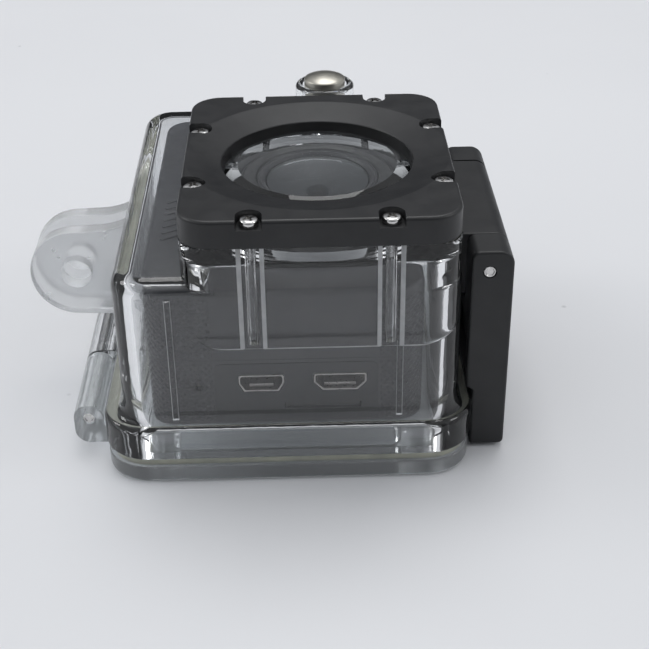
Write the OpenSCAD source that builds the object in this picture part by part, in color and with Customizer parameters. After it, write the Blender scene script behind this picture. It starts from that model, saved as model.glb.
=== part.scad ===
// Action camera in its clear waterproof housing, lying on the closed back door.
// Origin: on the lens axis, at the door's flat outer face. +Z is the way the lens looks,
// +X is the camera's top (latch side), -X its bottom (mount fingers), -Y the port side.

/* [Housing] */
// Height of the lens plate's top above the door's outer face
total_h = 44; // [43:0.5:46]
// Outer face of the body's left wall (mount side)
body_x0 = -30.3; // [-31:0.1:-30]
// Outer face of the body's right wall (latch side)
body_x1 = 20.5; // [20.3:0.1:20.7]
// Outer face of the body's port-side wall
body_y0 = -22.2; // [-22.6:0.1:-22.2]
// Outer face of the body's far wall
body_y1 = 44; // [44:0.1:44.5]
// Height of the body's flat front face
body_z1 = 34; // [34:0.1:34.4]
// Thickness of the moulded walls
wall = 2.4; // [2.2:0.1:2.5]
// Half width of the lens tower along X
tower_hx = 20; // [19.8:0.05:20]
// Half width of the lens tower along Y
tower_hy = 22.9; // [22.8:0.1:23]
// How far the sealing flange stands out past the body on the door side
flange_lip = 2.3; // [1.5:0.1:2.3]
// Height of the flange's lower face
flange_z0 = 4.3; // [4.2:0.05:4.4]
// Height of the flange's upper face
flange_z1 = 9.9; // [9.5:0.1:10.5]

/* [Lens window] */
// Half width of the black lens plate along X
plate_hx = 20; // [19.8:0.1:20.5]
// Half width of the black lens plate along Y
plate_hy = 23.17; // [23:0.01:23.5]
// Thickness of the lens plate
plate_t = 4.3; // [4.2:0.1:4.5]
// Radius of the plate's opening
opening_r = 14.5; // [14:0.1:14.8]
// Radius of the shallow dish around the opening
dish_r = 20; // [19:0.5:20.5]

/* [Mount fingers] */
// Radius of the hole for the mount's thumbscrew
finger_hole_r = 2.5; // [2.5:0.05:2.6]
// Radius of the round end of each finger
finger_r = 7.5; // [7.3:0.1:7.6]
// Thickness of one finger
finger_t = 3; // [2.8:0.1:3.1]
// Gap between the two fingers
finger_gap = 3.2; // [3:0.1:3.4]
// Distance of the hole's axis from the lens axis
finger_x = -39.6; // [-40:0.1:-39.4]
// Height of the hole's axis above the door's outer face
finger_z = 20.4; // [20:0.1:21]

/* [Door and latch] */
// Thickness of the back door's panel
door_t = 3; // [2.8:0.1:3]
// Distance of the door's hinge axis from the lens axis
hinge_x = -36.5; // [-36.8:0.1:-36.4]
// Height of the door's hinge axis
hinge_z = 5.7; // [5.5:0.1:5.9]
// Distance of the latch's pin from the lens axis
latch_x = 24.7; // [24.6:0.05:24.8]
// Height of the latch's pin
latch_z = 31.3; // [31.2:0.05:31.4]
// Radius of both steel pins
pin_r = 0.95; // [0.8:0.05:1]

/* [Buttons] */
// Travel of each housing button
button_travel = 1.2; // [1:0.1:1.2]
// Outer radius of the collar around a button
collar_r = 5.1; // [4.8:0.1:5.2]
// Radius of a button's metal cap
cap_r = 3.55; // [3.3:0.05:3.6]

/* [Camera] */
// Width of the camera inside, along Y
cam_w = 59.3; // [59:0.1:59.4]
// Height of the camera inside, along X
cam_h = 41.2; // [41:0.1:41.4]
// Depth of the camera's box, without its lens
cam_d = 23.7; // [23.5:0.1:23.8]
// Full depth of the camera with its lens
cam_full_d = 29.8; // [29.6:0.1:29.9]

/* [Hidden] */
$fn = 64;
eps = 0.01;

// Running clearance of a shaft in its hole
run_gap = 0.05;

// Housing
body_r = 5;
edge_r = 2.6;
cavity_r = 2.8;
flange_out = 3.1;
flange_r = 7;
flange_edge_r = 1.1;
flange_x0 = body_x0 - flange_out;
flange_x1 = body_x1 + flange_lip;
flange_end_lip = 1.3;
flange_y0 = body_y0 - flange_end_lip;
flange_y1 = body_y1 + flange_end_lip;
cav_x0 = body_x0 + wall + 0.1;
cav_x1 = body_x1 - wall - 0.1;
cav_y0 = body_y0 + wall;
cav_y1 = body_y1 - wall;
tower_r = 4.1;
tower_z0 = 23.1;
tower_step_r = 3;
tower_top = total_h - plate_t;
tower_wall = 2.4;
seat_r = 16.4;
seat_z = tower_top - 2;
tower_cav_z = seat_z - 1.5;
groove_w = 3.9;
groove_floor_w = 2.6;
groove_d = 0.5;
channel_w = 0.95;
channel_d = 0.5;
channel_long_x = -22.1;
channel_short_x = 11.4;

// Lens plate screws: two on each side of the plate
end_screw = [9.85, 21.32];
side_screw = [18.13, 10];
screw_xy = [
    for (sx = [-1, 1], sy = [-1, 1]) [sx * end_screw[0], sy * end_screw[1]],
    for (sx = [-1, 1], sy = [-1, 1]) [sx * side_screw[0], sy * side_screw[1]]
];
screw_head_r = 1.38;
screw_head_h = 1.1;
screw_shank_r = 0.75;
screw_len = 5.6;
pilot_r = screw_shank_r + 0.03;
deep_pilot_z = tower_z0 + 0.5;
pocket_r = 1.85;
pocket_z = total_h - 1.45;
pilot_z = pocket_z - screw_len - 0.3;
dish_d = 1.2;

// Window
gasket_t = 0.8;
glass_r = 14.1;
glass_flange_r = 16.2;
glass_top = total_h - 1.8;
glass_bevel = 2;

// Camera box
cam_x0 = -26.1;
cam_x1 = cam_x0 + cam_h;
cam_y0 = -19.5;
cam_y1 = cam_y0 + cam_w;
cam_z1 = 31.7;
cam_z0 = cam_z1 - cam_d;
cam_split_z = 20;
cam_r = 4;
cam_wall = 1.2;
lens_top = cam_z0 + cam_full_d;
barrel_r = 11.6;
bezel_r = 9;
cover_glass_r = 7.7;
front_lens_r = 1.6;
port_z = 16;
usb_x = 2.6;
hdmi_x = -9.1;
port_depth = 6;
panel_t = 0.15;
card_at = [0, cam_y0, 11.9];
card_w = 11.4;
mic_at = [-18.4, 15.4];
led_at = [8, 32];
led_r = 0.7;
screen_mid = [(cam_x0 + cam_x1) / 2, 6];
screen_hx = 16;
screen_hy = 21;
battery_y0 = 5;
battery_y1 = 35;
cam_screw_in = 2.4;
cam_screw_xy = [
    for (x = [cam_x0 + cam_screw_in, cam_x1 - cam_screw_in])
        for (y = [cam_y0 + cam_screw_in, cam_y1 - cam_screw_in]) [x, y]
];

// Buttons: place and outward direction of each, as the floor's inner face
floor_t = 2;
key_gap = 2.3;
stem_r = 1.2;
collar_bore_r = 3.85;
cap_proud = 0.8;
front_button_at = [2.05, 36.8, cam_z1 + key_gap];
top_button_at = [cam_x1 + key_gap, 31.5, 20];
up_button_at = [-10.5, cam_y1 + key_gap, 20];
down_button_at = [4.5, cam_y1 + key_gap, 20];
front_collar_h = 5;
side_collar_h = 3.4;
spring_len = 2.6;
stem_rest = 1.38;
clip_t = 0.4;
seal_r = 0.38;
dome = 1.9;
key_out = 0.45;
key_lip = 0.4;
key_len = cam_wall + 0.9;
front_key_r = 2;
side_key_r = 2.4;

// Door, hinge and latch
door_r = 6.8;
door_edge_r = 0.9;
knuckle_r = 2.4;
knuckle_foot = 1.1;
hinge_y0 = -14;
hinge_y1 = 35.8;
hinge_mid0 = 2;
hinge_mid1 = 19.8;
hinge_gap = 0.2;
latch_y0 = -16;
latch_y1 = 22.4;
cheek_w = 5.8;
latch_gap = 0.2;
latch_left = 22;
latch_right = 28.3;
latch_top = 34.6;
latch_bottom = 0.5;
latch_in_r = 1.2;
latch_out_r = 2.2;
latch_foot_r = 0.8;
latch_foot_z = 11;
latch_wall = 2.3;
bracket_z0 = 24.4;

// ---------- shared shapes ----------

// Flat rounded rectangle from one corner to the other
module rrect(x0, y0, x1, y1, r) {
    translate([x0 + r, y0]) square([x1 - x0 - 2 * r, y1 - y0]);
    translate([x0, y0 + r]) square([x1 - x0, y1 - y0 - 2 * r]);
    for (x = [x0 + r, x1 - r], y = [y0 + r, y1 - r]) translate([x, y]) circle(r);
}

// Upright rounded block
module block(x0, y0, x1, y1, z0, z1, r) {
    translate([0, 0, z0]) linear_extrude(z1 - z0) rrect(x0, y0, x1, y1, r);
}

// Plain box from corner to corner
module box(a, b) {
    translate(a) cube([b[0] - a[0], b[1] - a[1], b[2] - a[2]]);
}

// Upright rounded block whose top edge is rounded as well
module pillow(x0, y0, x1, y1, z0, z1, r, e) {
    block(x0, y0, x1, y1, z0, z1 - e, r);
    block(x0 + e, y0 + e, x1 - e, y1 - e, z0, z1, r - e);
    for (x = [x0 + r, x1 - r], y = [y0 + r, y1 - r])
        translate([x, y, z1 - e]) rotate_extrude() {
            square([r - e, e]);
            intersection() {
                translate([r - e, 0]) circle(e);
                square([r, e]);
            }
        }
    for (x = [x0 + e, x1 - e])
        translate([x, y0 + r, z1 - e]) rotate([-90, 0, 0]) cylinder(h = y1 - y0 - 2 * r, r = e);
    for (y = [y0 + e, y1 - e])
        translate([x0 + r, y, z1 - e]) rotate([0, 90, 0]) cylinder(h = x1 - x0 - 2 * r, r = e);
}

// Ring with a flat section
module ring(ro, ri, h) {
    difference() {
        cylinder(h = h, r = ro);
        translate([0, 0, -1]) cylinder(h = h + 2, r = ri);
    }
}

// Cylinder along +Y, starting at the given point
module bar_y(at, r, len) {
    translate(at) rotate([-90, 0, 0]) cylinder(h = len, r = r);
}

// ---------- buttons: drawn with the outward direction as +Z ----------

module aim_x(at) { translate(at) rotate([0, 90, 0]) children(); }
module aim_y(at) { translate(at) rotate([-90, 0, 0]) children(); }
module aim_z(at) { translate(at) children(); }

// Clear collar that stands on the wall around a button
module collar(h) {
    cylinder(h = floor_t + h, r = collar_r);
}

// Bore, counterbore and seal groove taken out of a collar
module collar_cut(h) {
    translate([0, 0, floor_t]) cylinder(h = h + 1, r = collar_bore_r);
    translate([0, 0, -key_gap]) cylinder(h = key_gap + floor_t + 1, r = stem_r + run_gap);
    translate([0, 0, 0.6]) cylinder(h = 0.8, r = stem_r + 0.85);
}

// Turned metal plunger: domed cap on a stem
module plunger(h) {
    cap_h = h + cap_proud - spring_len;
    translate([0, 0, floor_t + spring_len]) {
        cylinder(h = cap_h, r = cap_r);
        translate([0, 0, cap_h]) intersection() {
            translate([0, 0, -cap_r * dome]) sphere(cap_r * sqrt(1 + dome * dome));
            cylinder(h = cap_r, r = cap_r);
        }
    }
    tip = stem_rest - key_gap;
    difference() {
        translate([0, 0, tip]) cylinder(h = floor_t + spring_len + eps - tip, r = stem_r);
        translate([0, 0, tip + 0.1]) ring(stem_r + 1, stem_r - 0.25, clip_t);
    }
}

// Point on a spring's wire axis at a turn fraction
function coil_at(t, turns, r, z0, z1) =
    [r * cos(360 * turns * t), r * sin(360 * turns * t), z0 + (z1 - z0) * t];

// Return spring: a round wire wound round the stem
module coil(turns = 3.5, r = 2.2, wire = 0.22, steps = 49, sides = 6) {
    rings = [
        for (i = [0:steps], k = [0:sides - 1])
            let (
                t = i / steps,
                a = 360 * turns * t,
                b = 360 * k / sides,
                c = coil_at(t, turns, r, floor_t + wire + 0.02, floor_t + spring_len - wire - 0.02)
            ) c + wire * [cos(b) * cos(a), cos(b) * sin(a), sin(b)]
    ];
    walls = [
        for (i = [0:steps - 1], k = [0:sides - 1])
            let (n = (k + 1) % sides)
                [i * sides + k, (i + 1) * sides + k, (i + 1) * sides + n, i * sides + n]
    ];
    ends = [[for (k = [0:sides - 1]) k], [for (k = [sides - 1:-1:0]) steps * sides + k]];
    polyhedron(points = rings, faces = concat(walls, ends), convexity = 6);
}

// Rubber seal ring in the collar's groove
module seal() {
    translate([0, 0, 1]) rotate_extrude() translate([stem_r + seal_r + 0.04, 0]) circle(seal_r);
}

// Split clip that keeps the plunger in
module clip() {
    difference() {
        translate([0, 0, stem_rest - key_gap + 0.12]) ring(2, stem_r - 0.2, clip_t - 0.04);
        translate([0, -0.6, -key_gap]) cube([3, 1.2, key_gap]);
    }
}

// Camera key under a plunger, with a flange that keeps it in
module key(r) {
    translate([0, 0, -key_gap - key_len]) {
        cylinder(h = key_len + key_out, r = r);
        cylinder(h = 0.5, r = r + key_lip);
    }
}

// Hole for a key in the camera's wall, wider behind the wall where the key's flange moves
module key_hole(r) {
    translate([0, 0, -key_gap - cam_wall - 1]) cylinder(h = cam_wall + 2, r = r + 0.1);
    translate([0, 0, -key_gap - key_len - 0.6]) cylinder(h = key_len + 0.6 - cam_wall, r = r + key_lip + 0.1);
}

// ---------- housing ----------

module body_outside() {
    pillow(body_x0, body_y0, body_x1, body_y1, flange_z1 - 1, body_z1, body_r, edge_r);
    pillow(flange_x0, flange_y0, flange_x1, flange_y1, flange_z0, flange_z1, flange_r, flange_edge_r);
}

// Raised lens tower, with rounded lower corners where it stands proud of the port-side wall
module tower_outside() {
    intersection() {
        block(-tower_hx, -tower_hy, tower_hx, tower_hy, tower_z0, tower_top, tower_r);
        translate([0, 30, 0]) rotate([90, 0, 0]) linear_extrude(60)
            rrect(-tower_hx, tower_z0, tower_hx, tower_top + 5, tower_step_r);
    }
}

// Grooves up the tower's near wall, in front of its screws, with sloping sides
module screw_grooves() {
    mouth = groove_w / 2;
    floor_half = groove_floor_w / 2;
    for (x = [-end_screw[0], end_screw[0]])
        translate([x, -tower_hy, tower_z0 - 1]) linear_extrude(tower_top - tower_z0 + 2)
            polygon([[-mouth, -1], [mouth, -1], [mouth, 0], [floor_half, groove_d],
                [-floor_half, groove_d], [-mouth, 0]]);
}

// Room for the camera, open at the back
module camera_room() {
    block(cav_x0, cav_y0, cav_x1, cav_y1, flange_z0 - 1, cam_z1 + 0.2, cavity_r);
    block(-tower_hx + tower_wall, cav_y0, tower_hx - tower_wall, tower_hy - tower_wall,
        cam_z1, tower_cav_z, cavity_r);
    aim_z(front_button_at) translate([0, 0, -key_gap + 0.2 - eps]) cylinder(h = key_gap - 0.2 + eps, r = 4);
    for (at = [up_button_at, down_button_at])
        aim_y(at) translate([0, 0, -0.6]) cylinder(h = 0.6, r = 2.8);
}

// Shallow channels up the inside of the port-side wall
module wall_channels() {
    for (run = [[channel_long_x, cam_z1 - 1], [channel_short_x, tower_z0]])
        box([run[0] - channel_w / 2, cav_y0 - channel_d, flange_z1],
            [run[0] + channel_w / 2, cav_y0 + 1, run[1]]);
}

// Middle knuckle of the door's hinge
module body_knuckle() {
    y0 = hinge_mid0 + hinge_gap;
    len = hinge_mid1 - hinge_mid0 - 2 * hinge_gap;
    bar_y([hinge_x, y0, hinge_z], knuckle_r, len);
    box([hinge_x, y0, hinge_z - 1.2], [flange_x0 + 0.5, y0 + len, hinge_z + knuckle_r]);
}

module housing_shell() {
    color([0.80, 0.84, 0.88, 0.35]) {
        difference() {
            union() {
                body_outside();
                tower_outside();
                body_knuckle();
                aim_z(front_button_at) collar(front_collar_h);
                aim_x(top_button_at) collar(side_collar_h);
                aim_y(up_button_at) collar(side_collar_h);
                aim_y(down_button_at) collar(side_collar_h);
            }
            camera_room();
            screw_grooves();
            wall_channels();
            translate([0, 0, seat_z]) cylinder(h = 10, r = seat_r);
            translate([0, 0, tower_cav_z - 1]) cylinder(h = 10, r = opening_r);
            for (p = screw_xy)
                translate([p[0], p[1], pilot_z]) cylinder(h = 10, r = pilot_r);
            for (x = [-end_screw[0], end_screw[0]])
                translate([x, -end_screw[1], deep_pilot_z])
                    cylinder(h = tower_top - deep_pilot_z, r = pilot_r);
            bar_y([hinge_x, 0, hinge_z], pin_r, 25);
            aim_z(front_button_at) collar_cut(front_collar_h);
            aim_x(top_button_at) collar_cut(side_collar_h);
            aim_y(up_button_at) collar_cut(side_collar_h);
            aim_y(down_button_at) collar_cut(side_collar_h);
        }
    }
}

// Two fingers of the standard mount, moulded on the housing's lower wall
module finger_outline() {
    difference() {
        union() {
            translate([finger_x, finger_z]) circle(finger_r);
            polygon([
                [finger_x + 0.6, finger_z + finger_r - 0.02], [body_x0, finger_z + finger_r + 1.4],
                [body_x0, finger_z - finger_r - 1], [finger_x + 0.3, finger_z - finger_r + 0.01]
            ]);
        }
        translate([finger_x, finger_z]) circle(finger_hole_r);
    }
}

module mount_fingers() {
    mid_y = (body_y0 + body_y1) / 2;
    color([0.80, 0.84, 0.88, 0.35])
        for (s = [-1, 1])
            translate([0, mid_y + s * (finger_gap + finger_t) / 2 + finger_t / 2, 0])
                rotate([90, 0, 0]) linear_extrude(finger_t) finger_outline();
}

module lens_plate() {
    color([0.10, 0.10, 0.11])
        difference() {
            pillow(-plate_hx, -plate_hy, plate_hx, plate_hy, tower_top, total_h, 4.8, 0.5);
            translate([0, 0, tower_top - 1]) cylinder(h = plate_t + 2, r = opening_r);
            translate([0, 0, total_h - dish_d]) cylinder(h = dish_d + eps, r1 = opening_r, r2 = dish_r);
            for (p = screw_xy) {
                translate([p[0], p[1], pocket_z]) cylinder(h = 5, r = pocket_r);
                translate([p[0], p[1], tower_top - 1]) cylinder(h = 5, r = screw_shank_r + 0.15);
                pocket_mouth(p);
            }
        }
}

// Straight run that opens a screw pocket to the plate's nearest side
module pocket_mouth(p) {
    if (abs(p[0]) > abs(p[1]))
        translate([p[0] > 0 ? p[0] : p[0] - 5, p[1] - pocket_r, pocket_z]) cube([5, 2 * pocket_r, 5]);
    else
        translate([p[0] - pocket_r, p[1] > 0 ? p[1] : p[1] - 5, pocket_z]) cube([2 * pocket_r, 5, 5]);
}

// Pan-head screws with a cross recess
module plate_screws() {
    color([0.78, 0.78, 0.78])
        for (p = screw_xy)
            translate([p[0], p[1], pocket_z]) {
                difference() {
                    intersection() {
                        cylinder(h = screw_head_h, r = screw_head_r);
                        translate([0, 0, screw_head_h - 2.6]) sphere(2.6);
                    }
                    for (a = [0, 90])
                        rotate([0, 0, a + 20 * p[0]])
                            translate([-0.85, -0.19, screw_head_h - 0.5]) cube([1.7, 0.38, 1]);
                }
                translate([0, 0, -screw_len]) cylinder(h = screw_len + eps, r = screw_shank_r);
            }
}

module window_glass() {
    color([0.85, 0.90, 0.92, 0.3]) rotate_extrude()
        polygon([
            [0, seat_z + gasket_t], [glass_flange_r, seat_z + gasket_t], [glass_flange_r, tower_top - 0.05],
            [glass_r, tower_top - 0.05], [glass_r, glass_top - 1.1], [glass_r - glass_bevel, glass_top],
            [0, glass_top]
        ]);
}

module window_gasket() {
    color([0.15, 0.15, 0.16]) translate([0, 0, seat_z]) ring(glass_flange_r, opening_r + 0.2, gasket_t);
}

// ---------- back door ----------

// Outer knuckles of the door's hinge, with the arms down to the panel
module door_knuckle(y0, y1) {
    foot_z = knuckle_foot + knuckle_r;
    bar_y([hinge_x, y0, hinge_z], knuckle_r, y1 - y0);
    box([hinge_x - knuckle_r, y0, foot_z], [hinge_x + knuckle_r - 0.4, y1, hinge_z]);
    bar_y([hinge_x, y0, foot_z], knuckle_r, y1 - y0);
    box([hinge_x, y0, knuckle_foot], [flange_x0 + 1, y1, door_t]);
}

module door_panel() {
    color([0.80, 0.84, 0.88, 0.35])
        difference() {
            union() {
                translate([0, 0, door_t]) mirror([0, 0, 1])
                    pillow(flange_x0 + 0.2, flange_y0 + 0.2, flange_x1 - 0.3, flange_y1 - 0.2, 0, door_t,
                        door_r, door_edge_r);
                block(cav_x0 + 0.4, cav_y0 + 0.3, cav_x1 - 0.3, cav_y1 - 0.3,
                    door_t - eps, cam_z0 - 0.5, cavity_r);
                door_knuckle(hinge_y0, hinge_mid0);
                door_knuckle(hinge_mid1, hinge_y1);
            }
            bar_y([hinge_x, hinge_y0 - 1, hinge_z], pin_r + run_gap, hinge_y1 - hinge_y0 + 2);
            block(cam_x0 + 3, cam_y0 + 3, cam_x1 - 3, cam_y1 - 3, door_t, cam_z0 + 1, 2);
        }
}

// Soft seal round the door's raised middle
module door_gasket() {
    color([0.72, 0.72, 0.66])
        difference() {
            block(flange_x0 + 1, flange_y0 + 0.9, flange_x1 - 1, flange_y1 - 0.9, door_t, flange_z0 - 0.1, 6);
            block(cav_x0 + 0.3, cav_y0 + 0.2, cav_x1 - 0.2, cav_y1 - 0.2,
                door_t - 1, flange_z0 + 1, cavity_r);
        }
}

module hinge_pin() {
    color([0.75, 0.75, 0.76]) bar_y([hinge_x, hinge_y0 + 0.2, hinge_z], pin_r, hinge_y1 - hinge_y0 - 0.4);
}

// ---------- latch ----------

// Section of the latch: rounded corners at the top and at the outer lower corner
module latch_section() {
    ri = latch_in_r;
    ro = latch_out_r;
    rf = latch_foot_r;
    h = latch_top - latch_bottom;
    translate([latch_left + 1, latch_bottom]) square([latch_right - latch_left - 1 - ro, h]);
    translate([latch_left, latch_foot_z]) square([3, latch_top - ri - latch_foot_z]);
    translate([latch_left + ri, latch_top - 4]) square([3, 4]);
    translate([latch_left + ri, latch_top - ri]) circle(ri);
    translate([latch_right - ro, latch_top - ro]) circle(ro);
    translate([latch_right - ro - 1, latch_bottom + rf]) square([ro + 1, h - ro - rf]);
    translate([latch_right - ro, latch_bottom]) square([ro - rf, 2]);
    translate([latch_right - rf, latch_bottom + rf]) circle(rf);
}

module latch_lever() {
    color([0.10, 0.10, 0.11])
        difference() {
            translate([0, latch_y1, 0]) rotate([90, 0, 0])
                linear_extrude(latch_y1 - latch_y0) latch_section();
            box([latch_left - 1, latch_y0 + cheek_w, bracket_z0 - 0.7],
                [latch_right + 1, latch_y1 - cheek_w, latch_top + 1]);
            box([latch_left - 1, latch_y0 + 2, latch_bottom + 1.2],
                [latch_right - latch_wall, latch_y1 - 2, bracket_z0 - 3]);
            bar_y([latch_x, latch_y0 - 1, latch_z], pin_r + run_gap, latch_y1 - latch_y0 + 2);
        }
}

// Fixed hinge block of the latch, held on the housing's top wall
module latch_bracket() {
    y0 = latch_y0 + cheek_w + latch_gap;
    len = latch_y1 - latch_y0 - 2 * cheek_w - 2 * latch_gap;
    ro = latch_out_r;
    color([0.10, 0.10, 0.11])
        difference() {
            translate([0, y0 + len, 0]) rotate([90, 0, 0]) linear_extrude(len) {
                translate([body_x1, bracket_z0]) square([latch_right - body_x1 - ro, latch_top - bracket_z0]);
                translate([latch_right - 3, bracket_z0 + ro]) square([3, latch_top - bracket_z0 - 2 * ro]);
                for (z = [bracket_z0 + ro, latch_top - ro]) translate([latch_right - ro, z]) circle(ro);
            }
            bar_y([latch_x, y0 - 1, latch_z], pin_r, len + 2);
        }
}

module latch_pin() {
    color([0.75, 0.75, 0.76]) bar_y([latch_x, latch_y0 + 0.1, latch_z], pin_r, latch_y1 - latch_y0 - 0.2);
}

// ---------- buttons and keys ----------

module front_button() { color([0.72, 0.70, 0.66]) aim_z(front_button_at) plunger(front_collar_h); }
module front_button_spring() { color([0.70, 0.70, 0.70]) aim_z(front_button_at) coil(); }
module front_button_seal() { color([0.12, 0.12, 0.12]) aim_z(front_button_at) seal(); }
module front_button_clip() { color([0.60, 0.60, 0.60]) aim_z(front_button_at) clip(); }
module top_button() { color([0.72, 0.70, 0.66]) aim_x(top_button_at) plunger(side_collar_h); }
module top_button_spring() { color([0.70, 0.70, 0.70]) aim_x(top_button_at) coil(); }
module top_button_seal() { color([0.12, 0.12, 0.12]) aim_x(top_button_at) seal(); }
module top_button_clip() { color([0.60, 0.60, 0.60]) aim_x(top_button_at) clip(); }
module up_button() { color([0.72, 0.70, 0.66]) aim_y(up_button_at) plunger(side_collar_h); }
module up_button_spring() { color([0.70, 0.70, 0.70]) aim_y(up_button_at) coil(); }
module up_button_seal() { color([0.12, 0.12, 0.12]) aim_y(up_button_at) seal(); }
module up_button_clip() { color([0.60, 0.60, 0.60]) aim_y(up_button_at) clip(); }
module down_button() { color([0.72, 0.70, 0.66]) aim_y(down_button_at) plunger(side_collar_h); }
module down_button_spring() { color([0.70, 0.70, 0.70]) aim_y(down_button_at) coil(); }
module down_button_seal() { color([0.12, 0.12, 0.12]) aim_y(down_button_at) seal(); }
module down_button_clip() { color([0.60, 0.60, 0.60]) aim_y(down_button_at) clip(); }

module front_key() { color([0.55, 0.55, 0.56]) aim_z(front_button_at) key(front_key_r); }
module top_key() { color([0.55, 0.55, 0.56]) aim_x(top_button_at) key(side_key_r); }
module up_key() { color([0.20, 0.20, 0.21]) aim_y(up_button_at) key(side_key_r); }
module down_key() { color([0.20, 0.20, 0.21]) aim_y(down_button_at) key(side_key_r); }

// ---------- camera ----------

// Half of the camera's box
module cam_half(z0, z1, inner_z0, inner_z1) {
    difference() {
        block(cam_x0, cam_y0, cam_x1, cam_y1, z0, z1, cam_r);
        block(cam_x0 + cam_wall, cam_y0 + cam_wall, cam_x1 - cam_wall, cam_y1 - cam_wall,
            inner_z0, inner_z1, cam_r - cam_wall);
    }
}

module camera_front_shell() {
    color([0.16, 0.16, 0.17])
        difference() {
            cam_half(cam_split_z + eps, cam_z1, cam_split_z - 1, cam_z1 - cam_wall);
            translate([0, 0, cam_z1 - 3]) cylinder(h = 5, r = barrel_r + 0.05);
            aim_z(front_button_at) key_hole(front_key_r);
            aim_x(top_button_at) key_hole(side_key_r);
            aim_y(up_button_at) key_hole(side_key_r);
            aim_y(down_button_at) key_hole(side_key_r);
            translate([led_at[0], led_at[1], cam_z1 - 3]) cylinder(h = 5, r = led_r + 0.1);
        }
}

module camera_rear_shell() {
    color([0.16, 0.16, 0.17])
        difference() {
            cam_half(cam_z0, cam_split_z, cam_z0 + cam_wall, cam_split_z + 1);
            box([screen_mid[0] - screen_hx, screen_mid[1] - screen_hy, cam_z0 - 1],
                [screen_mid[0] + screen_hx, screen_mid[1] + screen_hy, cam_z0 + 3]);
            box([cam_x0 - 1, battery_y0 - 1, cam_z0 + 2], [cam_x0 + 3, battery_y1 + 1, cam_split_z - 1.5]);
            aim_x(top_button_at) key_hole(side_key_r);
            aim_y(up_button_at) key_hole(side_key_r);
            aim_y(down_button_at) key_hole(side_key_r);
            translate([0, 5, 0]) port_cuts();
            for (p = cam_screw_xy) translate([p[0], p[1], cam_z0 - 1]) cylinder(h = 7, r = 0.85);
        }
}

// Openings for the two sockets, the card and the microphone
module port_cuts() {
    box([usb_x - 4, cam_y0 - 10, port_z - 1.6], [usb_x + 4, cam_y0, port_z + 1.6]);
    box([hdmi_x - 3.5, cam_y0 - 10, port_z - 1.6], [hdmi_x + 3.5, cam_y0, port_z + 1.6]);
    box([card_at[0] - card_w / 2, cam_y0 - 10, card_at[2] - 0.5],
        [card_at[0] + card_w / 2, cam_y0, card_at[2] + 0.5]);
    bar_y([mic_at[0], cam_y0 - 10, mic_at[1]], 0.55, 10);
}

// Smooth panel round the sockets
module port_panel() {
    color([0.20, 0.20, 0.21])
        difference() {
            translate([0, cam_y0, 0]) rotate([90, 0, 0]) linear_extrude(panel_t) rrect(-16, 9, 8.2, 19.4, 1);
            translate([0, 5, 0]) port_cuts();
        }
}

module lens_barrel() {
    color([0.14, 0.14, 0.15]) rotate_extrude()
        polygon([
            [bezel_r + 0.1, cam_z1 - 5], [barrel_r, cam_z1 - 5], [barrel_r, lens_top - 0.8],
            [barrel_r - 0.8, lens_top], [bezel_r + 0.1, lens_top]
        ]);
}

module lens_bezel() {
    color([0.24, 0.24, 0.25]) translate([0, 0, lens_top - 1.4]) ring(bezel_r, 7.8, 1.3);
}

module lens_cover_glass() {
    color([0.30, 0.32, 0.34, 0.3]) translate([0, 0, lens_top - 1.3]) cylinder(h = 0.8, r = cover_glass_r);
}

// Stepped black funnel behind the cover glass
module lens_baffle() {
    color([0.08, 0.08, 0.09]) rotate_extrude()
        polygon([
            [front_lens_r + 0.1, lens_top - 2.6], [cover_glass_r, lens_top - 1.4],
            [bezel_r - 0.1, lens_top - 1.5], [bezel_r - 0.1, cam_z1 - 4],
            [3.4, cam_z1 - 4], [3.4, lens_top - 5], [front_lens_r + 0.1, lens_top - 5]
        ]);
}

module front_lens() {
    color([0.45, 0.40, 0.25, 0.5]) translate([0, 0, lens_top - 5])
        intersection() {
            cylinder(h = 2.2, r = front_lens_r);
            translate([0, 0, -0.8]) sphere(3);
        }
}

module rear_lens() {
    color([0.40, 0.45, 0.50, 0.5]) translate([0, 0, cam_z1 - 3.8])
        intersection() {
            cylinder(h = 1.8, r = 3.2);
            translate([0, 0, -3.2]) sphere(5);
        }
}

module image_sensor() {
    color([0.25, 0.30, 0.28]) box([-4, -3.5, cam_z1 - 7.2], [4, 3.5, cam_z1 - 5.6]);
}

module main_board() {
    color([0.10, 0.35, 0.20])
        box([cam_x0 + 2, cam_y0 + 7, cam_split_z + 2.8], [cam_x1 - 4, cam_y1 - 4, cam_split_z + 4]);
}

module battery() {
    color([0.25, 0.40, 0.65])
        block(cam_x0 + 2.2, battery_y0, cam_x0 + 32, battery_y1, cam_z0 + 3, cam_z0 + 9.8, 0.8);
}

module battery_door() {
    color([0.18, 0.18, 0.19])
        box([cam_x0, battery_y0 - 0.8, cam_z0 + 2.2], [cam_x0 + 1, battery_y1 + 0.8, cam_split_z - 1.7]);
}

module lcd_panel() {
    color([0.10, 0.12, 0.15])
        box([screen_mid[0] - screen_hx + 1, screen_mid[1] - screen_hy + 1, cam_z0 + 0.9],
            [screen_mid[0] + screen_hx - 1, screen_mid[1] + screen_hy - 1, cam_z0 + 2.8]);
}

module screen_glass() {
    color([0.05, 0.05, 0.06])
        box([screen_mid[0] - screen_hx + 0.1, screen_mid[1] - screen_hy + 0.1, cam_z0],
            [screen_mid[0] + screen_hx - 0.1, screen_mid[1] + screen_hy - 0.1, cam_z0 + 0.8]);
}

// Outline of a socket that is narrower along its lower edge
module socket_outline(w, h, step) {
    polygon([
        [-w / 2, h / 2], [w / 2, h / 2], [w / 2, 0],
        [w / 2 - step, -h / 2], [-w / 2 + step, -h / 2], [-w / 2, 0]
    ]);
}

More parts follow.
